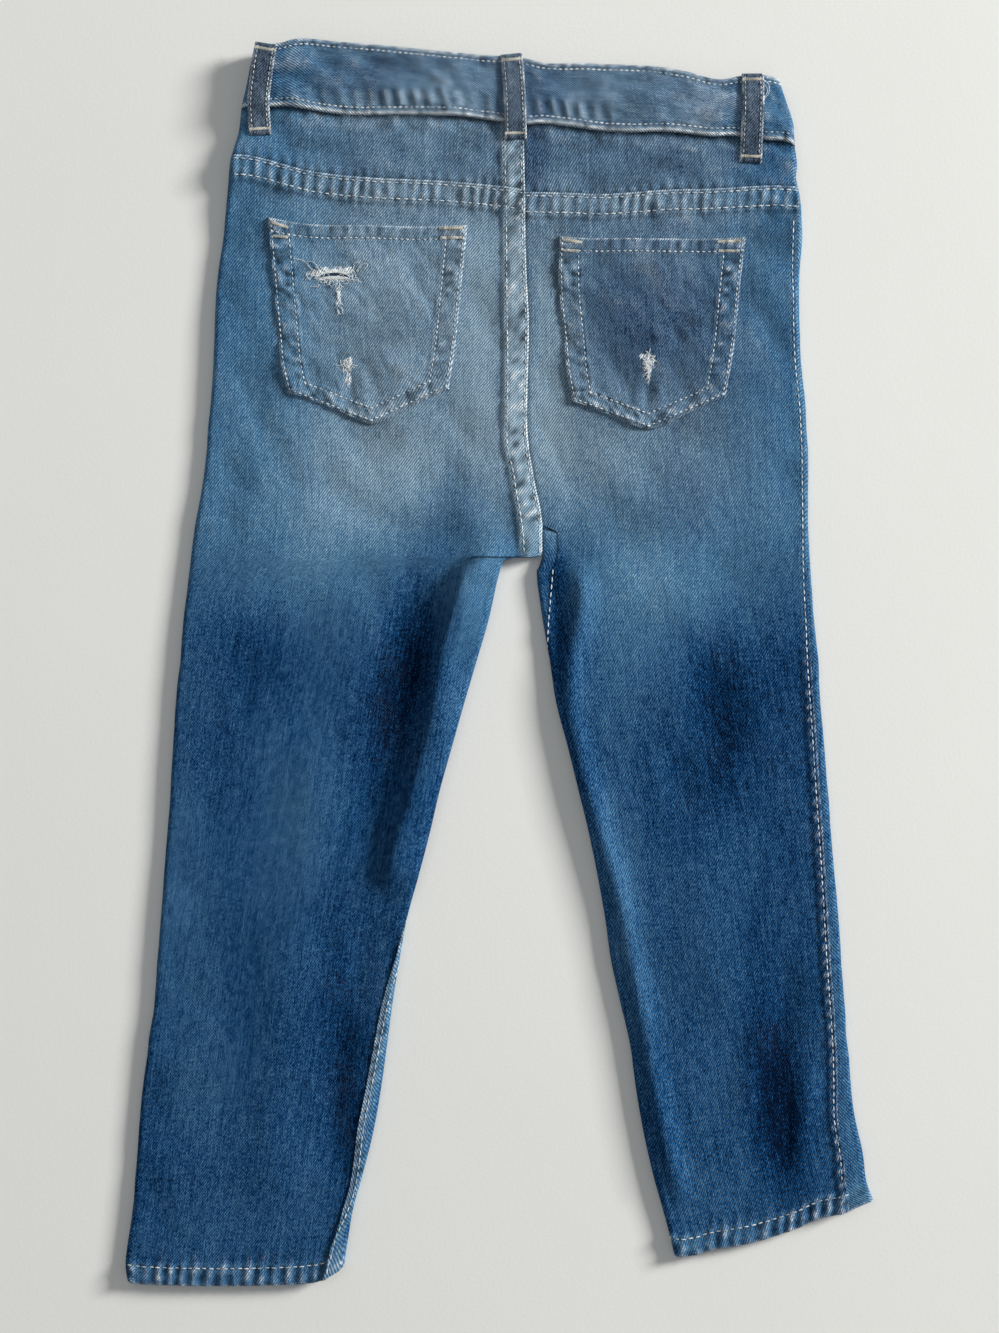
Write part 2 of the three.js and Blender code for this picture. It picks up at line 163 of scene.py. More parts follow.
LEFT_FOLD = curve(
    (-291.5, -174.8), (-288, -175.6), (-260, -173.1), (-240, -171.1), (-200, -168), (-160, -162.5),
    (-120, -159.5), (-80, -156.3), (-40, -153.8), (0, -150.5), (40, -146.4), (60, -143.7), (80, -140.4),
    (100, -138), (120, -136.1), (140, -134.6), (160, -134.1), (180, -132.7), (200, -130), (220, -127.8),
    (236, -126.3), (250, -122.5), (260, -121.3), (270, -119), (280, -117), (288, -115),
)
RIGHT_FOLD = curve(
    (-253, 175.7), (-245, 173.3), (-230, 171.2), (-210, 166.8), (-180, 163.8), (-140, 161), (-100, 157.8),
    (-60, 154.4), (-20, 151.4), (0, 150), (40, 146.6), (80, 145.3), (100, 145.1), (120, 144.2),
    (140, 142.2), (160, 141.2), (180, 141.3), (205, 142.5), (222, 140.8), (226, 139.5), (232, 140),
    (245, 138.5), (252, 138), (260, 135.5), (268, 133), (274, 131),
)
LEFT_INSIDE = curve(
    (-284, -73.3), (-270, -71), (-260, -69.4), (-240, -64), (-220, -59.1), (-200, -55.6), (-180, -52.9),
    (-160, -50.2), (-140, -47), (-120, -43.3), (-100, -37.8), (-80, -32.6), (-60, -27.9), (-40, -22.3),
    (-20, -16.7), (0, -10.8), (20, -5), (40, -0.5), (50, 2.4),
)
RIGHT_INSIDE = curve(
    (-281, 82.6), (-268, 79.5), (-240, 71.9), (-220, 67.5), (-200, 64.1), (-180, 61.4), (-160, 56.8),
    (-140, 52.4), (-120, 49.6), (-100, 46), (-80, 41.9), (-60, 37), (-40, 32.1), (-20, 26.8), (0, 23.7),
    (20, 20.3), (30, 18.8), (40, 17.6), (50, 17.8),
)
RISE = curve(
    (44, 20.2), (50, 20.2), (60, 20.2), (70, 19.5), (80, 17.4), (90, 15.5), (100, 13.9), (110, 13),
    (120, 13), (140, 13.5), (160, 13.8), (180, 12.8), (200, 12.2), (220, 12), (244, 11.5), (262, 11.5),
)
RISE_ROW = curve(
    (44, 11.6), (60, 11), (70, 9.6), (80, 7.8), (90, 6.2), (100, 3.8), (115, 3.5), (140, 3.8), (160, 3.5),
    (180, 3.3), (200, 3.2), (240, 2.5), (262, 2.5),
)
YOKE_LEFT = curve(
    (-130, 237.5), (-118, 237.3), (-110, 235.6), (-100, 232.8), (-90, 230.2), (-80, 228.7), (-70, 227.6),
    (-60, 226.8), (-40, 226), (-20, 225), (0, 223), (12, 221.3), (20, 221),
)
YOKE_RIGHT = curve(
    (0, 220.6), (12, 220.3), (30, 220), (50, 219.4), (60, 220), (80, 221.4), (100, 221.9), (120, 223),
    (130, 223.4), (145, 222.4),
)
BAND_LOW = curve(
    (-124, 259.6), (-107, 260), (-100, 260.2), (-90, 258.7), (-80, 257), (-70, 256), (-50, 256),
    (-30, 255.8), (-20, 255.5), (-10, 254.4), (-3, 253.5), (13, 251.5), (20, 252), (30, 251), (50, 248.5),
    (60, 248), (80, 248), (90, 247), (100, 246), (110, 246.3), (124, 244.5), (135, 243.5), (141, 241),
)
BAND_TOP = curve(
    (-118, 286.8), (-112, 288.6), (-101, 290.4), (-95, 292), (-90, 292.2), (-80, 291.2), (-60, 289.4),
    (-40, 287.5), (-20, 285.5), (-3, 284), (10, 283.3), (20, 281), (40, 280.3), (50, 280), (70, 279.3),
    (80, 278), (90, 276), (97, 274), (103, 273), (113, 274.5), (123, 275), (133, 273.3),
)
LEFT_HEM = curve(
    (-178, -291), (-170, -292.5), (-160, -293), (-110, -293.3), (-100, -293), (-90, -292.3), (-83, -291),
    (-78, -289), (-75, -286), (-72, -283),
)
RIGHT_HEM = curve(
    (81, -279.6), (88, -279.7), (92, -279), (99, -276.8), (110, -275), (120, -273), (130, -270),
    (140, -266.5), (150, -262), (160, -259.8), (170, -256), (178, -252.5),
)
# Distance of each leg seam from its fold, above 0 on the back and below 0 underneath
LEFT_OUTSEAM = curve((-292, -10), (100, -5), (262, -2))
LEFT_INSEAM = curve(
    (-290, 11), (-280, 9.4), (-270, 8.4), (-260, 5.4), (-250, 4.4), (-240, 5.2), (-220, 7.7), (-200, 7.2),
    (-180, 6.1), (-160, 4.8), (-140, 2.2), (-110, -0.5), (-60, -3), (52, -3),
)
RIGHT_OUTSEAM = curve(
    (-254, 11.5), (-240, 9.8), (-220, 9.2), (-200, 6.5), (-180, 5.4), (-140, 5.3), (-100, 4.5), (-60, 3.8),
    (-20, 3.4), (0, 3.4), (20, 2.4), (40, 1.8), (60, 1.3), (135, 1.3), (170, 1.2), (205, 2.4), (222, 0.8),
    (262, -1),
)
RIGHT_INSEAM = curve(
    (-282, -8), (-100, -5), (-20, -3), (5, -0.5), (15, 1.6), (30, 5.2), (42, 7.2), (52, 7.2),
)


# ---------------------------------------------------------------- the laid cloth

# Folds of the back as (height, half width on its left, half width on its right, points along it)
FOLDS = (
    (6.4, 5.0, 13.0, ((6, 58), (-3, 49), (-15, 42), (-19, 30), (-25, 10), (-29, -12), (-33, -35), (-40, -58),
                      (-48, -85), (-54, -115))),
    (-2.4, 13.0, 13.0, ((-28, 48), (-36, 28), (-43, 5), (-46, -20), (-49, -45), (-56, -70), (-64, -100))),
    (-1.8, 8.0, 8.0, ((-60, -112), (-65, -140), (-72, -165), (-75, -190), (-76, -215), (-74, -250))),
    (1.6, 15.0, 15.0, ((-84, -30), (-90, -80), (-98, -140), (-104, -200), (-110, -262))),
    (3.4, 5.0, 5.5, ((34, 54), (37, 45), (39, 36), (38, 20), (34.5, 5), (33, -10), (34, -25), (38, -45),
                     (46, -75), (56, -110), (66, -160), (76, -215), (87, -262))),
    (-1.4, 4.0, 4.0, ((27, 50), (27.5, 30), (27.5, 10), (27, -2))),
    (-1.8, 11.0, 9.0, ((106, 18), (103, 0), (102, -25), (105, -52))),
    (-1.4, 7.0, 7.0, ((86, -32), (85, -52), (84, -78))),
    (-2.0, 6.0, 8.0, ((137, -138), (134, -160), (130, -185), (123, -212))),
    (-1.8, 6.0, 6.0, ((141, -200), (134, -228), (129, -250))),
    (1.7, 7.0, 9.0, ((124, -160), (120, -190), (112, -222))),
    (1.5, 5.0, 6.0, ((148, -180), (142, -215), (138, -246))),
    (1.6, 16.0, 18.0, ((92, -70), (100, -125), (106, -180))),
    (1.0, 9.0, 12.0, ((2, 62), (-28, 68), (-58, 84), (-84, 108))),
    (-0.9, 8.0, 8.0, ((-4, 54), (-30, 58), (-60, 68), (-92, 90))),
    (0.8, 9.0, 11.0, ((30, 62), (52, 76), (80, 98))),
    (1.2, 20.0, 20.0, ((-70, 205), (-64, 165), (-60, 125))),
    (1.2, 20.0, 20.0, ((74, 200), (74, 160), (72, 120))),
    (0.9, 7.0, 9.0, ((-36, 268), (-30, 262), (-18, 266))),
    (1.1, 5.0, 7.0, ((40, 272), (50, 263), (66, 266), (80, 262))),
    (-0.9, 5.0, 6.0, ((28, 262), (38, 266), (46, 272))),
)


def fold_height(x, y, height, left, right, points):
    """Height that one fold adds at each point, dying away toward both of its ends."""
    line = resample(points, 7)
    reach = 2.6 * max(left, right)
    near = ((x > line[:, 0].min() - reach) & (x < line[:, 0].max() + reach)
            & (y > line[:, 1].min() - reach) & (y < line[:, 1].max() + reach))
    out = np.zeros_like(x)
    px, py = x[near], y[near]
    best = np.full(px.shape, np.inf)
    side, along = np.zeros_like(px), np.zeros_like(px)
    travelled = 0.0
    for (ax, ay), (bx, by) in zip(line[:-1], line[1:]):
        dx, dy = bx - ax, by - ay
        length = math.hypot(dx, dy)
        t = np.clip(((px - ax) * dx + (py - ay) * dy) / length ** 2, 0, 1)
        gap = np.hypot(px - ax - t * dx, py - ay - t * dy)
        closer = gap < best
        best = np.where(closer, gap, best)
        side = np.where(closer, dx * (py - ay) - dy * (px - ax), side)
        along = np.where(closer, travelled + t * length, along)
        travelled += length
    width = np.where(side > 0, right, left)
    fade = min(24.0, travelled / 2.4)
    ends = smoothstep(along, 0, fade) * smoothstep(travelled - along, 0, fade)
    out[near] = height * np.exp(-(best / width) ** 2) * ends
    return out


def back_top(x, y):
    """Height of the outer face of the plain back cloth, with its folds and soft waves."""
    z = LEG_TOP + (WAIST_TOP - LEG_TOP) * smoothstep(y, 196, 246)
    for height, left, right, points in FOLDS:
        z = z + fold_height(x, y, height, left, right, points)
    z = z + 0.35 * noise(x, y, (26, 44), 3) + 0.16 * noise(x, y, (9, 17), 4)
    return z + 0.05 * noise(x, y, (3.4, 6), 5)


def ripple(along, period, seed):
    """A puckered seam's waves along it, from -1 to 1, uneven in height and spacing."""
    drift = 1.5 * noise(along, 0 * along, (2.6 * period, 1), seed)
    size = 0.72 + 0.28 * noise(along, 0 * along, (3.1 * period, 1), seed + 1)
    return size * np.cos(2 * np.pi * along / period + drift)


class Cloth:
    """Points of a panel in the plane, and the height, wear and painted shade that its seams build up there.
    """

    def __init__(self, x, y):
        self.x, self.y = x, y
        self.z = np.zeros_like(x)
        self.wear = np.zeros_like(x)
        self.shade = np.zeros_like(x)
        self.bleach = np.zeros_like(x)

    def rub(self, amount):
        """Whitens the cloth to this amount where it is less worn."""
        self.wear = np.maximum(self.wear, amount)

    def paint_shade(self, amount):
        """Paints shade onto the cloth, to this amount where it has less."""
        self.shade = np.maximum(self.shade, amount)

    def seam(self, inside, along, width, rows, rise=1.2, pucker=0.5, period=5.6, slant=0.12, seed=0,
             edge_wear=0.7, band_wear=0.75, tail=0.0, uneven=0.0, bleach=0.0, gain=1.0):
        """A lapped seam: a raised band from its edge, stitched in rows and puckered between them, with
        painted shade in its stitch grooves and pucker dips.
        """
        band = plateau(inside, -4, width, 2.2) * gain
        self.z += rise * band
        wave = (1 - uneven) * ripple(along + slant * inside, period, seed)
        wave = wave + 1.3 * uneven * noise(along + slant * inside, inside, (0.5 * period, 3.4), seed + 9)
        cross = plateau(inside, 1.0, width - 0.5, 2.6) * gain
        if tail:
            ragged = 0.5 + 0.5 * noise(along, 0 * along, (0.8 * period, 1), seed + 5)
            cross = np.maximum(cross, 0.75 * ragged * plateau(inside, 1.0, width, tail) * gain)
        self.z += 1.35 * pucker * wave * cross
        grain = 0.5 + 0.5 * noise(self.x, self.y, 1.6, seed + 7)
        for row in rows:
            self.z -= 0.34 * bump(inside - row, 0.75) * gain
            # painted shade in the groove along each stitch row
            self.paint_shade(0.5 * bump(inside - row, 0.8) * (0.4 + 0.6 * grain) * gain)
        self.z -= 0.55 * bump(np.clip(inside, 0, None), 0.45) * gain
        edge = bump(inside - 0.35, 0.6) * (0.4 + 0.6 * grain)
        crests = np.clip(wave + 0.15, 0, 1) ** 1.2 * cross * (0.4 + 0.6 * grain)
        # painted shade in the dips between the puckers
        dips = np.clip(-wave, 0, 1) * cross
        self.rub(edge_wear * edge * gain)
        self.rub(band_wear * crests)
        self.paint_shade(dips)
        self.bleach = np.maximum(self.bleach, bleach * band)

    def rumple(self, cell, height, seed, where=1.0, wear=0.45):
        """Uneven creases whose crests are rubbed pale and whose dips get painted shade."""
        crease = noise(self.x + 0.5 * self.y, self.y, cell, seed) * where
        crease = crease * (0.75 + 0.25 * noise(self.x, self.y, 2.2, seed + 1))
        self.z += height * crease
        self.rub(wear * np.clip(crease, 0, 1) ** 1.4)
        # painted shade in the dips of the creases
        self.paint_shade(0.7 * np.clip(-crease, 0, 1))


# Soft-edged patches of wash as (x, y, half width, half height, turn in degrees, amount); a few dark ones are
# painted shade, as noted below
WASH_AND_SHADE = (
    (-62, 88, 48, 34, 8, 0.2), (-52, 165, 44, 48, 0, 0.14), (-10, 150, 13, 70, 0, 0.16),
    (24, 148, 11, 74, 0, 0.2), (48, 104, 40, 32, -8, 0.14), (76, 160, 42, 38, 0, -0.3),
    # The patch at (-20, 68) is painted shade in the crease beside the crotch.
    (-20, 68, 17, 24, 0, -0.2), (84, 76, 24, 26, 0, -0.16), (74, 32, 40, 26, -10, 0.16),
    (62, 236, 58, 14, 0, -0.12), (-70, 276, 54, 12, 0, -0.2), (-60, 236, 60, 14, 0, -0.08),
    (-6, 120, 10, 80, 0, 0.08), (-36, 270, 28, 14, 0, 0.1), (92, 262, 48, 16, 0, -0.02),
    (16, 236, 9, 24, 0, -0.24),
    (22, 268, 13, 14, 0, -0.2), (130, 232, 20, 30, 0, -0.06),
    (-92, -60, 22, 66, 6, 0.1), (-152, -110, 15, 120, 7, 0.12), (-15, 4, 11, 54, -16, 0.09),
    (62, 8, 22, 44, -6, 0.16), (58, -110, 9, 70, 6, 0.12), (128, -16, 16, 60, -4, -0.06),
    (100, -120, 26, 60, -8, 0.05), (-110, -268, 66, 18, 4, 0.05), (118, -252, 46, 18, 16, 0.06),
    # The patches at (-45, 0), (-73, -190), (103, -26), (131, -205) and (84, -56) lie in fold troughs: darker
    # unfaded indigo and painted shade. Those at (28, 20) and (24, 43) are painted shadow at the crotch.
    (-45, 0, 14, 56, -14, -0.26), (-73, -190, 10, 64, 4, -0.18), (103, -26, 13, 42, 2, -0.2),
    (131, -205, 12, 50, 8, -0.3), (28, 20, 5, 34, 0, -0.14), (24, 43, 8, 13, 0, -0.32),
    (84, -56, 9, 24, 0, -0.06), (-102, 2, 22, 34, 0, -0.12),
)
WASH_GROUND = 0.265
WASH_SEAT = 0.38


def wash(x, y):
    """How far the indigo has faded at each point, with painted shade at the crotch and in the fold troughs: 0
    is dark, 1 is pale.
    """
    edge = 34 + 12 * np.sin(x / 46 + 0.6) + 7 * noise(x, y, (24, 60), 20)
    seat = smoothstep(y, edge - 42, edge + 46) * (1 - 0.34 * smoothstep(np.abs(x - 4), 82, 142))
    total = WASH_GROUND + WASH_SEAT * seat
    for cx, cy, wide, high, turn, amount in WASH_AND_SHADE:
        c, s = math.cos(math.radians(turn)), math.sin(math.radians(turn))
        u, v = (x - cx) * c + (y - cy) * s, (y - cy) * c - (x - cx) * s
        total = total + amount * np.exp(-np.hypot(u / wide, v / high) ** 2.2)
    total = total + 0.035 * noise(x, y, (18, 40), 21) + 0.025 * noise(x, y, (5, 16), 22)
    return np.clip(total, 0, 1)


# ---------------------------------------------------------------- panels on flattened tubes


class Rows:
    """Rows of cloth across a flattened leg, each from its outer fold to its inner end."""

    def __init__(self, outer, inner, closed, outseam, inseam, bend):
        self.outer, self.inner = outer, inner
        self.closed, self.bend = closed[:, None], bend
        self.outseam, self.inseam = outseam, inseam

    @property
    def width(self):
        return np.linalg.norm(self.inner - self.outer, axis=1)[:, None]

    def stops(self, layer, step):
        """Distances from the outer fold to each column: finer where the cloth turns under."""
        def fold_stops(seam):
            turns = FOLD_RADIUS * np.linspace(-1, 1, 9)
            stops = [np.maximum(seam + 0.35 * (k + 1), turn) for k, turn in enumerate(turns)]
            return np.stack([seam] + stops, axis=1)
        start = fold_stops(layer * self.outseam)
        end = fold_stops(layer * self.inseam)[:, ::-1]
        cells = int(np.max(self.width) / step)
        t = np.linspace(0, 1, cells + 1)[1:-1]
        middle = start[:, -1:] + (self.width - end[:, :1] - start[:, -1:]) * t
        return np.concatenate([start, middle, self.width - end], axis=1)

    def place(self, along):
        """Plan position of each stop, and how far it has turned to its own layer."""
        to_start, to_end = along, self.width - along

        def turn(d):
            angle = np.clip(d / FOLD_RADIUS, -1, 1) * np.pi / 2
            inward = np.where(np.abs(d) < FOLD_RADIUS, FOLD_RADIUS * (1 - np.cos(angle)), np.abs(d))
            return inward, (1 + np.sin(angle)) / 2
        start_in, start_layer = turn(to_start)
        end_in, end_layer = turn(to_end)
        end_in = self.closed * end_in + (1 - self.closed) * to_end
        end_layer = self.closed * end_layer + (1 - self.closed)
        at_end = along > self.width / 2
        across = np.where(at_end, self.width - end_in, start_in)
        u = across / self.width
        x = self.outer[:, :1] + (self.inner[:, :1] - self.outer[:, :1]) * u
        y = self.outer[:, 1:] + (self.inner[:, 1:] - self.outer[:, 1:]) * u
        y = self.bend(x, y, u)
        return x, y, np.where(at_end, end_layer, start_layer)


def grid_normals(points):
    across = np.gradient(points, axis=1)
    down = np.gradient(points, axis=0)
    normal = np.cross(across, down)
    return normal / np.maximum(np.linalg.norm(normal, axis=2, keepdims=True), 1e-9)


def grid_quads(rows, columns, start=0):
    k = start + np.arange(rows * columns).reshape(rows, columns)
    return np.stack([k[:-1, :-1], k[1:, :-1], k[1:, 1:], k[:-1, 1:]], axis=-1).reshape(-1, 4)


def rim_faces(fine, coarse, marks):
    """Triangles between a fine border and a coarse one that meets it at some of its points."""
    faces = []
    for a, b, g, h in zip(marks[:-1], marks[1:], coarse[:-1], coarse[1:]):
        middle = (a + b) // 2
        faces += [(g, fine[j + 1], fine[j]) for j in range(a, middle)]
        faces.append((g, h, fine[middle]))
        faces += [(h, fine[j + 1], fine[j]) for j in range(middle, b)]
    return faces


def shell(name, points, uv, values, material, thickness=WALL, skip=3, up=True, tear=None):
    """A closed cloth piece: a fine outer face, a plain inner face, and the edge between them.

    A tear is (row, first column, last column) of the cells that are open right through it.
    """
    normals = grid_normals(points)
    if (np.median(normals[..., 2]) > 0) != up:
        points, uv = points[:, ::-1], uv[:, ::-1]
        values = {key: value[:, ::-1] for key, value in values.items()}
        normals = grid_normals(points)
        tear = tear and (tear[0], points.shape[1] - 2 - tear[2], points.shape[1] - 2 - tear[1])
    rows, columns = points.shape[:2]
    keep = [np.unique(np.r_[np.arange(0, n, skip), n - 1]) for n in (rows, columns)]
    pick = np.ix_(*keep)
    inner = (points - normals * thickness)[pick]
    inner[..., 2] = np.abs(inner[..., 2])
    base = rows * columns
    outer_index = np.arange(base).reshape(rows, columns)
    inner_index = base + np.arange(inner.shape[0] * inner.shape[1]).reshape(inner.shape[:2])
    outer_faces = grid_quads(rows, columns)
    inner_faces = grid_quads(inner.shape[0], inner.shape[1], base)[:, ::-1]
    borders = [
        (outer_index[0], inner_index[0], keep[1], False), (outer_index[-1], inner_index[-1], keep[1], True),
        (outer_index[:, 0], inner_index[:, 0], keep[0], True),
        (outer_index[:, -1], inner_index[:, -1], keep[0], False),
    ]
    if tear:
        row, first, last = tear
        whole = np.ones((rows - 1, columns - 1), bool)
        whole[row, first:last + 1] = False
        outer_faces, inner_faces = outer_faces[whole.ravel()], inner_faces[whole.ravel()]
        along, down = slice(first, last + 2), slice(row, row + 2)
        edges = (((row, along), True), ((row + 1, along), False),
                 ((down, first), False), ((down, last + 1), True))
        for part, turned in edges:
            borders.append((outer_index[part], inner_index[part], np.arange(outer_index[part].size), turned))
    faces = outer_faces.tolist() + inner_faces.tolist()
    for fine, coarse, marks, turned in borders:
        rim = rim_faces(fine.tolist(), coarse.tolist(), marks.tolist())
        faces += [face[::-1] for face in rim] if turned else rim
    vertices = np.concatenate([points.reshape(-1, 3), inner.reshape(-1, 3)])
    flat_uv = np.concatenate([uv.reshape(-1, 2), uv[pick].reshape(-1, 2)])
    flat_values = {key: np.concatenate([v.ravel(), v[pick].ravel()]) for key, v in values.items()}
    piece = cloth_object(name, vertices, faces, flat_uv, flat_values, material)
    return piece


def cloth_object(name, vertices, faces, uv, values, material):
    """A mesh object in metres from millimetre points, facing out, with its UV and its fade, wear, painted
    shade and grey values.
    """
    mesh = bpy.data.meshes.new(name)
    mesh.from_pydata((vertices * MM).tolist(), [], faces)
    layer = mesh.uv_layers.new(name="UVMap")
    loops = np.zeros(len(mesh.loops), np.int32)
    mesh.loops.foreach_get("vertex_index", loops)
    layer.data.foreach_set("uv", (uv[loops] * MM).astype(np.float32).ravel())
    for key, value in values.items():
        attribute = mesh.attributes.new(key, "FLOAT", "POINT")
        attribute.data.foreach_set("value", np.asarray(value, np.float32))
    mesh.materials.append(material)
    mesh.shade_smooth()
    mesh.set_sharp_from_angle(angle=math.radians(60))
    piece = bpy.data.objects.new(name, mesh)
    bpy.context.scene.collection.objects.link(piece)
    return piece


def blend_stretches(*stretches):
    """Row stations from stretches of (rows, start, end), each a tuple of values run evenly."""
    parts = []
    for count, start, end in stretches:
        t = np.arange(count)[:, None] / count
        parts.append(np.array(start) + (np.array(end) - np.array(start)) * t)
    parts.append(np.array([stretches[-1][2]], float))
    return np.concatenate(parts)


def leg_stations(seat, crotch, crotch_outer, leg, inside):
    """Stations down a leg: y at its outer fold, x and y of its inner end, and how far that end is closed."""
    seat, leg, crotch = blend_stretches(*seat), blend_stretches(*leg), resample(crotch, 1.0)
    outer_y = np.r_[seat[:, 0], np.linspace(*crotch_outer, len(crotch)), leg[:, 0]]
    inner_x = np.r_[RISE(seat[:, 1]), crotch[:, 0], inside(leg[:, 1])]
    inner_y = np.r_[seat[:, 1], crotch[:, 1], leg[:, 1]]
    closed = np.r_[smoothstep(seat[:, 1], 66, 60), np.ones(len(crotch) + len(leg))]
    return outer_y, inner_x, inner_y, closed


def left_rows():
    return leg_stations(
        ((4, (237.5, 221.3), (236.5, 220.4)), (170, (236.5, 220.4), (61, 60))),
        ((20.2, 52), (19.6, 50.2), (10, 49.6), (2.4, 47.5)), (52, 33),
        ((int(316 / PANEL_STEP), (32, 46.5), (-284, -274)), (10, (-284, -274), (-291, -283))), LEFT_INSIDE)


def right_rows():
    return leg_stations(
        ((4, (222.6, 220.3), (221.7, 219.4)), (168, (221.7, 219.4), (61, 60))),
        ((20.6, 52), (20.0, 49.0), (18.4, 44.0)), (52, 42),
        ((int(292 / PANEL_STEP), (41, 43), (-246, -272)), (10, (-246, -272), (-253, -280))), RIGHT_INSIDE)


def leg_rows(stations, fold, outseam, inseam, yoke, hem):
    """The rows of one leg, bent at the top to its yoke seam and at the bottom to its hem."""
    outer_y, inner_x, inner_y, closed = stations
    wobble = 0.3 * noise(outer_y, 0 * outer_y, (11, 1), 31)
    outer = np.stack([fold(outer_y) + wobble, outer_y], axis=1)
    inner = np.stack([inner_x, inner_y], axis=1)
    reach = np.linspace(0, 1, len(outer_y))[:, None]
    near_yoke = 1 - smoothstep(reach, 0, 0.17)
    near_hem = smoothstep(reach, 0.86, 1)

    def bend(x, y, u):
        yoke_chord = outer_y[0] + (inner_y[0] - outer_y[0]) * u
        hem_chord = outer_y[-1] + (inner_y[-1] - outer_y[-1]) * u
        return y + (yoke(x) - yoke_chord) * near_yoke + (hem(x) - hem_chord) * near_hem

    return Rows(outer, inner, closed, outseam(outer_y), inseam(inner_y) * closed, bend)


def leg_grid(rows, layer, step):
    """Plan points of a leg panel, its turn toward its own layer, and its UV along the grain."""
    along = rows.stops(layer, step)
    x, y, own = rows.place(along)
    middle = (rows.outer + rows.inner) / 2
    down = np.r_[0, np.cumsum(np.linalg.norm(np.diff(middle, axis=0), axis=1))]
    toward_right = -np.sign(rows.outer[:, 0].mean())
    uv = np.stack([toward_right * (along - rows.width / 2), -down[:, None] + 0 * along], axis=2)
    return x, y, own, uv


def leg_values(cloth, fade_shift=0.0):
    """What the denim's finish reads on each point: fading, whitened wear, grey, and painted shade in the
    dips, grooves and under lapped edges.
    """
    return {
        "fade": np.clip(wash(cloth.x, cloth.y) + fade_shift + cloth.bleach, 0, 1),
        "wear": np.clip(cloth.wear, 0, 1),
        "shade": np.clip(cloth.shade, 0, 1),
        "grey": 0.04 + 0.3 * smoothstep(cloth.y, 40, 100) * (1 - smoothstep(np.abs(cloth.x - 14), 70, 128)),
    }


def hem_seam(cloth, hem, seed):
    cloth.seam(cloth.y - hem(cloth.x), cloth.x, 9.2, (HEM_ROW,), rise=1.0, pucker=0.75, period=6.2,
               slant=-0.1, seed=seed, uneven=0.35, bleach=0.16, tail=9)


def yoke_seam(cloth, yoke, seed, period):
    """The lapped seam under the yoke, and the creases in the cloth below it."""
    below = yoke(cloth.x) - cloth.y
    cloth.seam(below, cloth.x, 10.3, YOKE_ROWS, seed=seed, period=period, tail=7, bleach=0.08, uneven=0.3)
    cloth.rumple((8, 11), 0.5, seed + 7, plateau(below, 9, 14, 9))
    cloth.rumple((13, 22), 0.6, seed + 8, 0.35 + 0.6 * smoothstep(cloth.y, 30, 90), 0.25)


def rise_seam(cloth, seed, **more):
    """The bleached double row down the middle of the seat."""
    rise_width = RISE(cloth.y) - RISE_ROW(cloth.y)
    cloth.seam(RISE(cloth.y) - cloth.x, cloth.y, rise_width + 0.9, (1.5, rise_width), seed=seed, period=6.0,
               slant=0.5, uneven=0.7, bleach=0.38, edge_wear=0.9, **more)


def panel(name, cloth, z, uv, material, fade_shift=0.0, **finish):
    """The shell of a panel, from its plan points and the heights worked out for them."""
    points = np.stack([cloth.x, cloth.y, z], axis=2)
    return shell(name, points, uv, leg_values(cloth, fade_shift), material, **finish)


def build_back_leg_left(material):
    rows = leg_rows(left_rows(), LEFT_FOLD, LEFT_OUTSEAM, LEFT_INSEAM, YOKE_LEFT, LEFT_HEM)
    rows.inseam = np.where(rows.inseam > 0.5, rows.inseam - 1.2, rows.inseam)
    x, y, own, uv = leg_grid(rows, 1, PANEL_STEP)
    cloth = Cloth(x, y)
    yoke_seam(cloth, YOKE_LEFT, 41, 5.6)
    rise_seam(cloth, 43, band_wear=0.9, gain=smoothstep(y, 44, 50))
    hem_seam(cloth, LEFT_HEM, 45)
    beside = LEFT_INSIDE(y) - LEFT_INSEAM(y) - x
    pulled = ripple(y + 0.5 * beside, 6.4, 47) * plateau(beside, -3, 2.0, 3.5)
    cloth.z += 0.35 * pulled * smoothstep(-y, 95, 120)
    # painted shadow along the edge where the back runs under the front at the inseam
    cloth.paint_shade(0.55 * bump(beside + 0.2, 1.3) * smoothstep(-y, 105, 130))
    z = own * (back_top(x, y) + cloth.z)
    return panel("denim_back_leg_left", cloth, z, uv, material)


def build_back_leg_right(material):
    rows = leg_rows(right_rows(), RIGHT_FOLD, RIGHT_OUTSEAM, RIGHT_INSEAM, YOKE_RIGHT, RIGHT_HEM)
    tuck = 1.6 * (1 - rows.closed)
    rows.inner = rows.inner - np.c_[tuck, 0 * tuck]
    x, y, own, uv = leg_grid(rows, 1, PANEL_STEP)
    cloth = Cloth(x, y)
    yoke_seam(cloth, YOKE_RIGHT, 51, 5.4)
    beyond = x - RISE(y)
    cloth.z += 0.3 * ripple(y - 0.5 * beyond, 6.0, 43) * plateau(beyond, -3, 1.5, 4) * smoothstep(y, 55, 70)
    # painted shadow beside the rise, where the left panel laps over this one
    cloth.paint_shade(0.6 * bump(beyond - 0.2, 1.2) * smoothstep(y, 50, 58))
    edge = RIGHT_FOLD(y) - np.maximum(RIGHT_OUTSEAM(y), 0.4) - x
    cloth.seam(edge, y, 3.6, (2.0,), rise=0.9, pucker=0.4, period=6.6, slant=0.5, seed=53, band_wear=0.5,
               edge_wear=0.45, gain=0.25 + 0.75 * smoothstep(-y, -30, 30))
    hem_seam(cloth, RIGHT_HEM, 55)
    z = own * (back_top(x, y) + cloth.z)
    return panel("denim_back_leg_right", cloth, z, uv, material)


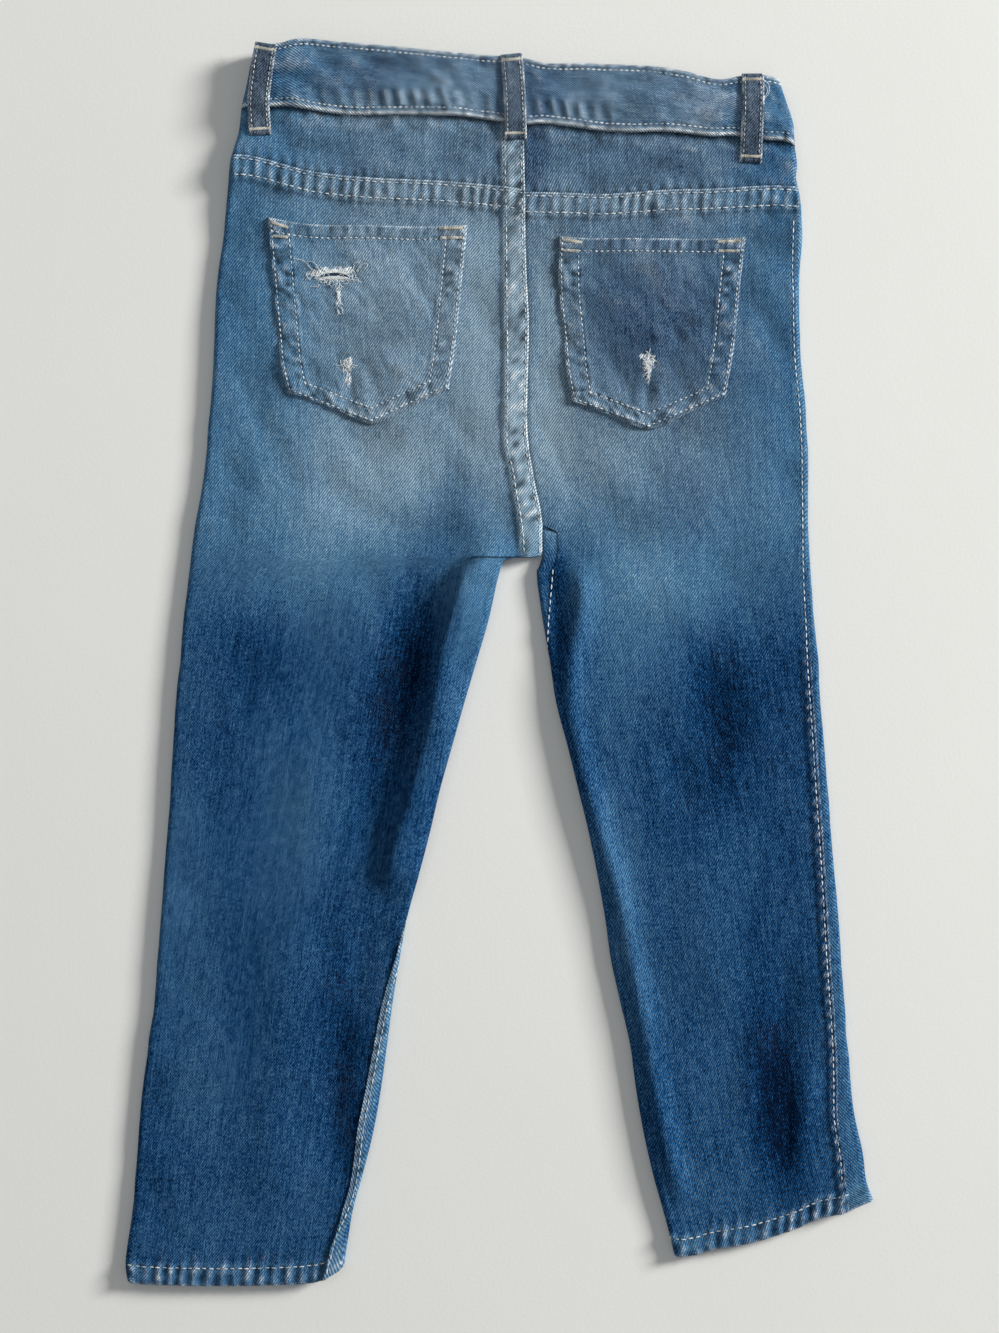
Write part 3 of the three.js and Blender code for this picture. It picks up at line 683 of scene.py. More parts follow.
def front_rows(stations, fold, outseam, inseam, yoke, hem):
    """A front panel's rows, which run on past the yoke seam to the waistband underneath."""
    rows = leg_rows(stations, fold, outseam, inseam, yoke, hem)
    extra = 9
    t = np.linspace(0, 1, extra, endpoint=False)[:, None]
    top = np.array([[float(fold(258)), 257.0 if fold is LEFT_FOLD else 242.0], [11.5, 245.0]])
    outer = top[0] + (rows.outer[0] - top[0]) * t
    inner = top[1] + (rows.inner[0] - top[1]) * t
    inner_bend = rows.bend
    rows.outer, rows.inner = np.concatenate([outer, rows.outer]), np.concatenate([inner, rows.inner])
    rows.closed = np.concatenate([np.zeros((extra, 1)), rows.closed])
    rows.outseam = np.r_[np.full(extra, rows.outseam[0]), rows.outseam]
    rows.inseam = np.r_[np.zeros(extra), rows.inseam]
    rows.bend = lambda x, y, u: np.concatenate([y[:extra], inner_bend(x[extra:], y[extra:], u[extra:])])
    return rows


def build_front_leg_left(material):
    rows = front_rows(left_rows(), LEFT_FOLD, LEFT_OUTSEAM, LEFT_INSEAM, YOKE_LEFT, LEFT_HEM)
    x, y, own, uv = leg_grid(rows, -1, FRONT_STEP)
    cloth = Cloth(x, y)
    inside = x - (LEFT_INSIDE(y) - LEFT_INSEAM(y))
    cloth.seam(inside, y, 4.4, (2.7,), rise=1.25, pucker=0.45, period=6.4, slant=-0.4, seed=61,
               band_wear=0.55, bleach=0.22, uneven=0.6, gain=smoothstep(-y, 100, 118))
    hem_seam(cloth, LEFT_HEM, 45)
    z = (1 - own) * (back_top(x, y) + cloth.z) + own * front_lift(y)
    return panel("denim_front_leg_left", cloth, z, uv, material, FRONT_FADE, up=False)


def build_front_leg_right(material):
    rows = front_rows(right_rows(), RIGHT_FOLD, RIGHT_OUTSEAM, RIGHT_INSEAM, YOKE_RIGHT, RIGHT_HEM)
    rows.outseam = rows.outseam + np.where(rows.outseam > 0.5, 1.2, 0)
    x, y, own, uv = leg_grid(rows, -1, FRONT_STEP)
    cloth = Cloth(x, y)
    beyond = x - (RIGHT_FOLD(y) - RIGHT_OUTSEAM(y))
    cloth.z += 0.35 * ripple(y, 6.6, 53) * plateau(beyond, -2, 4, 3)
    # painted shade in the groove of the outseam
    cloth.paint_shade(0.6 * bump(beyond, 1.2))
    hem_seam(cloth, RIGHT_HEM, 55)
    z = (1 - own) * (back_top(x, y) - 0.5 + cloth.z) + own * front_lift(y)
    return panel("denim_front_leg_right", cloth, z, uv, material, FRONT_FADE, up=False)


def front_lift(y):
    """Height of the front's outer face over the surface: raised where the waist's button lies."""
    return 0.02 + 2.2 * smoothstep(y, 206, 232)


def yoke_grid(left):
    """Plan points of a yoke half, from under the waistband down to under the leg's folded edge."""
    seam, fold = (YOKE_LEFT, LEFT_FOLD) if left else (YOKE_RIGHT, RIGHT_FOLD)
    count = 44
    t = np.linspace(0, 1, count)
    tops, bottoms = (262.0, 236.0) if left else (243.5, 221.4)
    outer_y = tops + (bottoms - tops) * t
    outer = np.stack([fold(outer_y), outer_y], axis=1)
    inner_y = 253.6 + (220.2 - 253.6) * t
    inner_x = RISE(inner_y) - (0 if left else 1.6)
    inner = np.stack([inner_x, inner_y], axis=1)

    def bend(x, y, u):
        share = t[:, None]
        return (BAND_LOW(x) + 1.8) * (1 - share) + (seam(x) - 1.6) * share

    ends = np.full(count, -1.0 if left else 0.6)
    rows = Rows(outer, inner, np.zeros(count), ends, np.zeros(count), bend)
    return leg_grid(rows, 1, YOKE_STEP)


def build_yoke(left, material):
    x, y, own, uv = yoke_grid(left)
    seam = YOKE_LEFT if left else YOKE_RIGHT
    cloth = Cloth(x, y)
    if left:
        rise_seam(cloth, 71)
    else:
        beyond = x - RISE(y)
        cloth.z += 0.3 * ripple(y, 6.0, 71) * plateau(beyond, -3, 1.5, 4)
        # painted shadow beside the rise, where the left half laps over this one
        cloth.paint_shade(0.5 * bump(beyond - 0.2, 1.2))
    above = y - seam(x)
    cloth.z += 0.4 * ripple(x, 5.6, 41) * plateau(above, -3, 1.0, 6)
    # painted shadow along the foot of the yoke, under the leg's folded edge
    cloth.paint_shade(0.6 * bump(above, 1.3))
    below_band = BAND_LOW(x) - y
    cloth.z += 0.35 * ripple(x, 8.0, 81) * plateau(below_band, -3, 1.0, 7)
    # painted shadow under the waistband's lip
    cloth.paint_shade(0.9 * bump(below_band - 0.3, 1.9))
    cloth.rumple((7, 5), 0.8, 83, plateau(below_band, 2, 6, 5), 0.65)
    cloth.rumple((12, 9), 0.7, 85, 1.0, 0.45)
    z = own * (back_top(x, y) - 0.15 + cloth.z)
    return panel("denim_back_yoke_left" if left else "denim_back_yoke_right", cloth, z, uv, material)


# ---------------------------------------------------------------- waistband, pockets and loops

def rolled(inside, radius, drop):
    """How far a folded edge falls away at each distance inside it."""
    reach = 1 - np.clip(inside / radius, 0, 1)
    return drop * (1 - np.sqrt(1 - reach ** 2))


def waistband_grid():
    """Points of the waistband, from its outer front end round by the left to its inner front end."""
    v = np.r_[0, 0.012, 0.028, np.linspace(0.05, 0.95, 38), 0.972, 0.988, 1][:, None]
    left, right = LEFT_FOLD(287 - 27 * v), RIGHT_FOLD(273.5 - 32 * v)
    radius = (WAIST_TOP + BAND_PROUD - FRONT_BAND_LOW) / 2
    turn = np.radians(np.linspace(-90, 90, 11))[1:-1]
    run, back_run = np.linspace(0, 1, 24), np.linspace(0, 1, 272)
    lower_end, upper_end = BAND_ENDS
    x = np.concatenate([
        lower_end + (left + radius - lower_end) * run,
        left + radius - radius * np.cos(turn),
        left + radius + (right - left - 2 * radius) * back_run,
        right - radius + radius * np.cos(turn),
        right - radius + (upper_end - right + radius) * run,
    ], axis=1)
    rising = (1 + np.sin(turn)) / 2
    own = np.r_[0 * run, rising, 1 + 0 * back_run, rising[::-1], 0 * run] + 0 * v
    lapped = np.r_[0 * run, 0 * turn, 0 * back_run, 0 * turn, 1 + 0 * run] * smoothstep(-x, -30, -16)
    dip = (1 - own) * FRONT_DIP * (1 - ((x - 8) / 130) ** 2)
    return x, BAND_TOP(x) * (1 - v) + BAND_LOW(x) * v - dip, own, lapped, v


def build_waistband(material):
    x, y, own, lapped, v = waistband_grid()
    cloth = Cloth(x, y)
    height = BAND_TOP(x) - BAND_LOW(x)
    from_top, from_lip = v * height, (1 - v) * height
    cloth.seam(from_lip, x, 4.1, BAND_ROWS[1:], rise=0.3, pucker=0.3, period=4.7, seed=91, band_wear=0.35,
               uneven=0.5)
    cloth.seam(from_top, x, 3.4, BAND_ROWS[:1], rise=0.15, pucker=0.26, period=5.3, seed=93, edge_wear=0.4,
               band_wear=0.5, uneven=0.6)
    cloth.rumple((12, 8), 1.1, 95, 1.0, 0.6)
    cloth.rumple((5, 4), 0.45, 97, 0.9, 0.45)
    pulled = smoothstep(noise(x, 0 * x, (34, 1), 98), -0.5, 0.3)
    pulls = ripple(x + 0.2 * y, 7.0, 99) * plateau(from_lip, 5.5, 10, 4) * pulled
    cloth.z += 0.5 * pulls
    cloth.rub(0.5 * np.clip(pulls, 0, 1))
    # painted shade in the dips of the pulls
    cloth.paint_shade(0.8 * np.clip(-pulls, 0, 1))
    cloth.rub((0.8 + 0.2 * noise(x, y, (2.5, 1.5), 90)) * bump(from_lip - 0.9, 1.2))
    cloth.rub((0.5 + 0.35 * noise(x, y, (3, 1.2), 92)) * bump(from_top - 0.6, 1.5))
    roll = rolled(from_top, 1.6, 1.1) + rolled(from_lip, 1.4, 1.2)
    back = back_top(x, y) + BAND_PROUD + cloth.z - roll
    front = FRONT_BAND_LOW + 2.3 * lapped + roll
    points = np.stack([x, y, own * back + (1 - own) * front], axis=2)
    steps = np.linalg.norm(np.diff(points[22], axis=0), axis=1)
    along = np.r_[0, np.cumsum(steps)]
    uv = np.stack([from_top, along + 0 * x], axis=2)
    return shell("denim_waistband", points, uv, leg_values(cloth), material, BAND_WALL, skip=2)


class Pocket:
    """The outline of one back pocket: its two sides over y, and its top and pointed foot over x."""

    def __init__(self, left, right, top, foot):
        self.left, self.right, self.top, self.foot = left, right, top, foot

    def grid(self, step):
        corners = [float(self.left(300)), float(self.right(300))]
        low = [float(self.left(0)), float(self.right(0))]
        u = np.linspace(0, 1, int((corners[1] - corners[0]) / step))[None, :]
        top_y = self.top(corners[0] + (corners[1] - corners[0]) * u)
        foot_y = self.foot(low[0] + (low[1] - low[0]) * u)
        t = np.linspace(0, 1, int(90 / step))[:, None]
        y = top_y * (1 - t) + foot_y * t
        return self.left(y) * (1 - u) + self.right(y) * u, y

    def insides(self, x, y):
        """Distance of each point inside the sides, the foot and the top."""
        sides = np.minimum(x - self.left(y), self.right(y) - x)
        return sides, 0.93 * (y - self.foot(x)), self.top(x) - y

    def row(self, side_gap, foot_gap, top_gap):
        """A stitch row that follows the sides and the foot at these distances inside them."""
        left, right = (lambda y: self.left(y) + side_gap), (lambda y: self.right(y) - side_gap)
        start = float(self.top(left(200))) - top_gap
        corner = [float(self.foot(edge(120))) + foot_gap for edge in (left, right)]
        tip = foot_gap + float(self.foot(self.tip()))
        down = [(float(left(y)), y) for y in np.linspace(start, corner[0], 12)]
        foot = [(self.tip(), tip)]
        end = float(self.top(right(200))) - top_gap
        up = [(float(right(y)), y) for y in np.linspace(corner[1], end, 12)]
        return [down, [down[-1]] + foot, foot + [up[0]], up]

    def tip(self):
        x = np.linspace(float(self.left(0)), float(self.right(0)), 200)
        return float(x[np.argmin(self.foot(x))])


POCKET_LEFT = Pocket(
    curve((128, -100.2), (140, -103), (150, -104), (170, -105.8), (190, -107.5), (208, -109)),
    curve((129, -23.7), (140, -22), (150, -20.5), (165, -19), (180, -17.5), (195, -16), (204, -15)),
    curve((-109, 208.7), (-100, 206.9), (-90, 205.5), (-60, 205), (-40, 204.3), (-30, 204.5), (-15.5, 205)),
    curve((-101, 126.5), (-92, 123.6), (-76, 117.6), (-63, 111.9), (-60, 111.3), (-57, 112.1), (-42, 119.6),
          (-30, 125.4), (-23, 128.4)),
)
POCKET_RIGHT = Pocket(
    curve((122, 34), (135, 31.5), (150, 30), (160, 29), (170, 28), (185, 27.5), (199, 28)),
    curve((125, 106.3), (140, 109), (150, 110.5), (165, 112), (185, 114), (198, 115.6)),
    curve((28, 200), (40, 199), (60, 199), (80, 198.7), (100, 198.7), (115.5, 199.4)),
    curve((33, 122.2), (42, 119.2), (56, 113.6), (67, 109.2), (70, 108.7), (73, 109.3), (84, 114.2),
          (98, 121), (107, 124.4)),
)
SLIT_MIDDLE, SLIT_HALF, SLIT_Y, SLIT_RISE, SLIT_HEIGHT = -77.5, 6.9, 180.3, 1.2, 1.5


def scuff(x, y, place, size, seed, ragged=0.55):
    """1 where the cloth is rubbed through to white yarn in a ragged patch, 0 away from it."""
    reach = np.hypot((x - place[0]) / size[0], (y - place[1]) / size[1])
    rough = ragged * noise(x, y, (0.9, 2.3), seed) + 0.3 * noise(x, y, (2.0, 0.8), seed + 1)
    return smoothstep(1.25 - reach + rough, 0, 0.6)


def open_slit(x, y):
    """Bends two rows of the pocket apart along the slit and says which cells lie between them."""
    middle = int(np.argmin(np.abs(x[0] - SLIT_MIDDLE)))
    row = int(np.argmin(np.abs(y[:, middle] - SLIT_Y - SLIT_RISE)))
    reach = (x[row] - SLIT_MIDDLE) / SLIT_HALF
    inside = np.clip(1 - reach ** 2, 0, None)
    arc = SLIT_Y + SLIT_RISE * inside
    window = smoothstep(1.5 - np.abs(reach), 0, 0.4)
    upper = (arc + 0.5 * SLIT_HEIGHT * inside ** 0.7 + 0.1 - y[row]) * window
    lower = (arc - 0.5 * SLIT_HEIGHT * inside ** 0.7 - 0.1 - y[row + 1]) * window
    order = np.arange(len(y))[:, None]
    above = upper * np.exp(-((row - order) / 7.0) ** 2)
    below = lower * np.exp(-((order - row - 1) / 7.0) ** 2)
    columns = np.flatnonzero(inside > 0.02)
    return y + np.where(order <= row, above, below), (row, int(columns[0]), int(columns[-1]) - 1)


def build_pocket(left, material):
    pocket = POCKET_LEFT if left else POCKET_RIGHT
    x, y = pocket.grid(POCKET_STEP)
    tear = None
    if left:
        y, tear = open_slit(x, y)
    cloth = Cloth(x, y)
    sides, foot, top = pocket.insides(x, y)
    edge, side_band, foot_band = POCKET_ROWS
    around = np.where(sides < foot, y, x)
    cloth.seam(np.minimum(sides, foot * side_band / foot_band), around, side_band + 0.6, (edge, side_band),
               rise=0.35, pucker=0.34, period=5.0, seed=101, band_wear=0.65, uneven=0.75)
    cloth.seam(top, x, POCKET_HEM + 0.5, (POCKET_HEM,), rise=0.3, pucker=0.2, period=5.4, seed=103,
               edge_wear=0.8, band_wear=0.5, uneven=0.4)
    cloth.rumple((9, 17), 0.5, 105, 1.0, 0.35)
    cloth.rumple((4, 8), 0.2, 107, 1.0, 0.25)
    cloth.z -= rolled(np.minimum(np.minimum(sides, foot), top), 1.2, 0.8)
    if left:
        marks = (((-76.5, 182.6), (9.5, 2.0)), ((-78, 179.2), (6.5, 0.9)), ((-75.5, 172), (0.9, 7.0)),
                 ((-87, 182), (2.6, 1.5)), ((-71.2, 139), (2.2, 3.6)), ((-70.3, 133), (0.6, 4.2)))
        crease = ((-70, 140), (-69, 116))
    else:
        marks = (((70, 140.5), (2.1, 3.6)), ((70.3, 141), (3.8, 0.9)), ((70, 134.5), (0.6, 3.8)),
                 ((66.8, 143.2), (1.1, 1.0)))
        crease = ((70, 138), (70, 114))
    for k, (place, size) in enumerate(marks):
        cloth.rub(1.15 * scuff(x, y, place, size, 111 + 2 * k))
    corners = np.clip(1.2 - np.hypot(np.clip(sides - 3, 0, None) / 9, np.clip(top - 2, 0, None) / 4), 0, 1)
    cloth.rub(corners * (0.45 + 0.35 * noise(x, y, (1.6, 1.1), 121)))
    cloth.z += fold_height(x, y, -0.7, 2.2, 2.2, crease)
    cloth.z += fold_height(x, y, 0.5, 2.4, 2.4, (np.array(crease) + (5.5, -1)).tolist())
    cloth.z += fold_height(x, y, 0.5, 2.4, 2.4, (np.array(crease) - (5.5, 1)).tolist())
    # painted shade in the crease
    cloth.paint_shade(np.abs(fold_height(x, y, 0.5, 1.6, 1.6, crease)))
    z = back_top(x, y) + PATCH_LIFT + cloth.z
    across = np.concatenate([[[0.0]] * len(x), np.cumsum(np.diff(x, axis=1), axis=1)], axis=1)
    uv = np.stack([across, y - 200], axis=2)
    name = "denim_pocket_left" if left else "denim_pocket_right"
    return panel(name, cloth, z, uv, material, skip=1 if left else 3, tear=tear)


# Belt loops as points down the middle of each, from the waist's edge to the lower tack
BACK_LOOPS = {
    "left": ((-109.2, 289.4), (-111.2, 277), (-112.8, 262), (-112.2, 246.8)),
    "centre": ((5.5, 284.4), (6.4, 274), (7.2, 262), (7.5, 244.5)),
    "right": ((118.6, 275.2), (118.6, 262), (118.2, 248), (117.8, 233.9)),
}
FRONT_LOOPS = {
    "left": ((-54, 279), (-54.7, 265), (-55.4, 252), (-56, 239)),
    "right": ((66, 272), (66.6, 258), (67.3, 246), (68, 233)),
}


def strap_grid(middle, width):
    """Plan points of a strap along a line, with how far along and how far inside its edge each is."""
    line = resample(middle, STRAP_STEP)
    ahead = np.gradient(line, axis=0)
    ahead /= np.linalg.norm(ahead, axis=1, keepdims=True)
    side = np.stack([-ahead[:, 1], ahead[:, 0]], axis=1)
    w = np.r_[-1, -0.97, -0.9, np.linspace(-0.8, 0.8, 15), 0.9, 0.97, 1][None, :] * width / 2
    x, y = (line[:, k:k + 1] + side[:, k:k + 1] * w for k in (0, 1))
    along = np.r_[0, np.cumsum(np.linalg.norm(np.diff(line, axis=0), axis=1))][:, None] + 0 * w
    return x, y, along, w + 0 * along


def build_belt_loop(name, middle, ground, material, seed):
    """A belt loop: a folded strap tacked at both ends, standing a little off what it crosses."""
    x, y, along, across = strap_grid(middle, LOOP_WIDTH)
    inside = LOOP_WIDTH / 2 - np.abs(across)
    length = along.max()
    to_end = np.minimum(along, length - along)
    cloth = Cloth(x, y)
    cloth.wear = 0.75 * bump(inside - 0.3, 0.9) * (0.6 + 0.4 * noise(x, y, (1.2, 2.4), seed))
    cloth.rumple((3, 5), 0.15, seed + 5, 1.0, 0.35)
    # painted shade in the groove along each stitch row
    cloth.paint_shade(0.8 * bump(inside - 1.9, 0.6))
    cloth.z -= 0.22 * bump(inside - 1.7, 0.6) + rolled(inside, 1.2, 0.9)
    cloth.z += 0.12 * ripple(along, 3.6, seed) * bump(inside - 0.8, 1.2)
    cloth.z += 0.14 * noise(x, y, (2.4, 1.1), seed + 3) - 0.3 * bump(to_end - 2.4, 0.9)
    if ground:
        support = np.array([[ground.height(px, py, LEG_TOP) for px, py in zip(*row)] for row in zip(x, y)])
        level = support.max(axis=1)
        level = np.array([level[max(0, k - 2):k + 3].max() for k in range(len(level))])
        level = np.convolve(np.pad(level, 3, mode="edge"), np.ones(7) / 7, mode="valid")
        bow = 0.5 * smoothstep(to_end, 1.5, 9)
        z = level[:, None] + PATCH_LIFT + bow - rolled(to_end, 1.4, 0.9) + cloth.z
    else:
        z = 0.05 + rolled(to_end, 1.4, 0.5) - cloth.z.clip(max=0) * 0.5
    points = np.stack([x, y, z], axis=2)
    uv = np.stack([across, -along], axis=2)
    values = leg_values(cloth, LOOP_FADE)
    values["grey"] = LOOP_GREY + 0 * x
    return shell(name, points, uv, values, material, thickness=LOOP_WALL, skip=2, up=ground is not None)


class Ground:
    """Heights of the finished cloth, found by dropping a line onto it."""

    def __init__(self, *pieces):
        self.trees = []
        for piece in pieces:
            mesh = piece.data
            self.trees.append(BVHTree.FromPolygons(
                [tuple(v.co) for v in mesh.vertices], [tuple(p.vertices) for p in mesh.polygons]))

    def height(self, x, y, missing=None):
        """Height in millimetres of the top face at a place given in millimetres."""
        start = Vector((x * MM, y * MM, 0.1))
        hits = [tree.ray_cast(start, Vector((0, 0, -1)))[0] for tree in self.trees]
        found = [hit.z / MM for hit in hits if hit is not None]
        return max(found) if found else missing


# ---------------------------------------------------------------- stitch rows

def over(values, line):
    """Points (x, y) of a seam given as x values and the function that gives its y."""
    return [(float(x), float(line(x))) for x in values]


def down(values, line):
    """Points (x, y) of a seam given as y values and the function that gives its x."""
    return [(float(line(y)), float(y)) for y in values]


def left_leg_rows():
    x = np.linspace(-123.5, 10.5, 60)
    y = np.linspace(52.5, 216, 70)
    hem_x = np.linspace(-173.5, -74.5, 50)
    return [
        over(x, lambda t: YOKE_LEFT(t) - YOKE_ROWS[0]),
        over(x[:-2], lambda t: YOKE_LEFT(t) - YOKE_ROWS[1]),
        down(y, lambda t: RISE(t) - 1.5),
        down(y, RISE_ROW),
        over(hem_x, lambda t: LEFT_HEM(t) + HEM_ROW),
    ]


def right_leg_rows():
    x = np.linspace(13.5, 139, 60)
    y = np.linspace(206, -243, 160)
    hem_x = np.linspace(80.5, 173.5, 50)
    return [
        over(x, lambda t: YOKE_RIGHT(t) - YOKE_ROWS[0]),
        over(x, lambda t: YOKE_RIGHT(t) - YOKE_ROWS[1]),
        down(y, lambda t: RIGHT_FOLD(t) - np.maximum(RIGHT_OUTSEAM(t), 0.4) - 2.0),
        over(hem_x, lambda t: RIGHT_HEM(t) + HEM_ROW),
        [(25, 42), (24, 30), (22.8, 15), (22.6, 5)],
    ]


def inseam_rows():
    y = np.linspace(-286, -116, 70)
    return [down(y, lambda t: LEFT_INSIDE(t) - LEFT_INSEAM(t) + 2.7)]


def yoke_rise_rows():
    y = np.linspace(222, 252, 12)
    return [down(y, lambda t: RISE(t) - 1.5), down(y, RISE_ROW)]


def waistband_stitch_rows():
    x = np.linspace(-111, 134, 100)
    top, low = BAND_ROWS
    return [over(x, lambda t: BAND_TOP(t) - top), over(x + 1, lambda t: BAND_LOW(t) + low)]


def pocket_rows(pocket):
    edge, side_band, foot_band = POCKET_ROWS
    hem_left, hem_right = float(pocket.left(200)) + edge, float(pocket.right(200)) - edge
    hem = over(np.linspace(hem_left, hem_right, 20), lambda t: pocket.top(t) - 6.3)
    return pocket.row(edge, 1.9, 1.2) + pocket.row(side_band, foot_band + 0.6, 6.5) + [hem]


def loop_rows(loops):
    rows = []
    for middle in loops.values():
        x, y, _, _ = strap_grid(middle, LOOP_WIDTH)
        for column in (4, x.shape[1] - 5):
            rows.append(list(zip(x[3:-3:4, column], y[3:-3:4, column])))
    return rows


def tack_lines():
    """Short bars of close stitches that hold the pocket corners and the ends of the belt loops."""
    bars = [
        ((-106.4, 205.8), (-99.5, 203.6)), ((-106, 199.8), (-99.5, 199)), ((-28, 203.2), (-17.4, 203.3)),
        ((-27.5, 198.9), (-18, 199)), ((30, 197.9), (38.5, 196.6)), ((30, 193), (37, 192.6)),
        ((102.5, 197), (113, 197.2)), ((103, 192.8), (112.5, 192.6)),
    ]
    for middle in BACK_LOOPS.values():
        x, y, _, _ = strap_grid(middle, LOOP_WIDTH)
        for row in (4, -5):
            bars.append(((x[row, 2], y[row, 2]), (x[row, -3], y[row, -3])))
    return bars


def guide_mesh(name, lines, ground, step, lift=0.0):
    """Edges along lines laid on the cloth, for a geometry tree to follow.

    Each point is (x, y), or (x, y, its own height over the cloth).
    """
    vertices, edges = [], []
    for line in lines:
        first = len(vertices)
        for x, y, *height in resample(line, step):
            top = ground.height(x, y)
            if top is not None:
                vertices.append((x * MM, y * MM, (top + sum(height) + lift) * MM))
        edges += [(k, k + 1) for k in range(first, len(vertices) - 1)]
    mesh = bpy.data.meshes.new(name)
    mesh.from_pydata(vertices, edges, [])
    guide = bpy.data.objects.new(name, mesh)
    bpy.context.scene.collection.objects.link(guide)
    return guide


# ---------------------------------------------------------------- node trees

def node(tree, kind, inputs=(), **settings):
    """Adds a node, with its settings, and a value or a link for each named or numbered input."""
    made = tree.nodes.new(kind)
    for key, value in settings.items():
        setattr(made, key, value)
    for key, value in dict(inputs).items():
        if isinstance(value, bpy.types.NodeSocket):
            tree.links.new(value, made.inputs[key])
        else:
            made.inputs[key].default_value = value
    return made


def calc(tree, operation, *values, clamp=False):
    made = node(tree, "ShaderNodeMath", dict(enumerate(values)), operation=operation, use_clamp=clamp)
    return made.outputs[0]


def blend_colours(tree, factor, a, b, kind="MIX"):
    made = node(tree, "ShaderNodeMix", {0: factor, 6: a, 7: b}, data_type="RGBA", blend_type=kind)
    return made.outputs[2]


def cycle(tree, phase):
    """A wave between 0 and 1 that crests at each whole number of its phase."""
    turned = calc(tree, "COSINE", calc(tree, "MULTIPLY", phase, 2 * math.pi))
    return calc(tree, "MULTIPLY_ADD", turned, 0.5, 0.5)


def vary(tree, mask, amount, level):
    """A level moved up and down by a mask whose middle is 0.5."""
    return calc(tree, "MULTIPLY_ADD", calc(tree, "SUBTRACT", mask, 0.5), amount, level)


def new_group(name, kind, sockets):
    """An empty node group with its named inputs and outputs, and the nodes that stand for them."""
    tree = bpy.data.node_groups.new(name, kind)
    for label, socket, way, default in sockets:
        made = tree.interface.new_socket(label, in_out=way, socket_type=socket)
        if default is not None:
            made.default_value = default
    return tree, tree.nodes.new("NodeGroupInput").outputs, tree.nodes.new("NodeGroupOutput").inputs


def streaks(tree, grain, wide, long, detail=1.0):
    """Soft noise drawn out along the grain, in marks this many metres wide and long."""
    stretched = node(tree, "ShaderNodeVectorMath", {0: grain, 1: (1 / wide, 1 / long, 1)},
                     operation="MULTIPLY")
    marks = node(tree, "ShaderNodeTexNoise", {"Vector": stretched.outputs[0], "Scale": 1.0, "Detail": detail},
                 noise_dimensions="2D")
    return marks.outputs["Fac"]


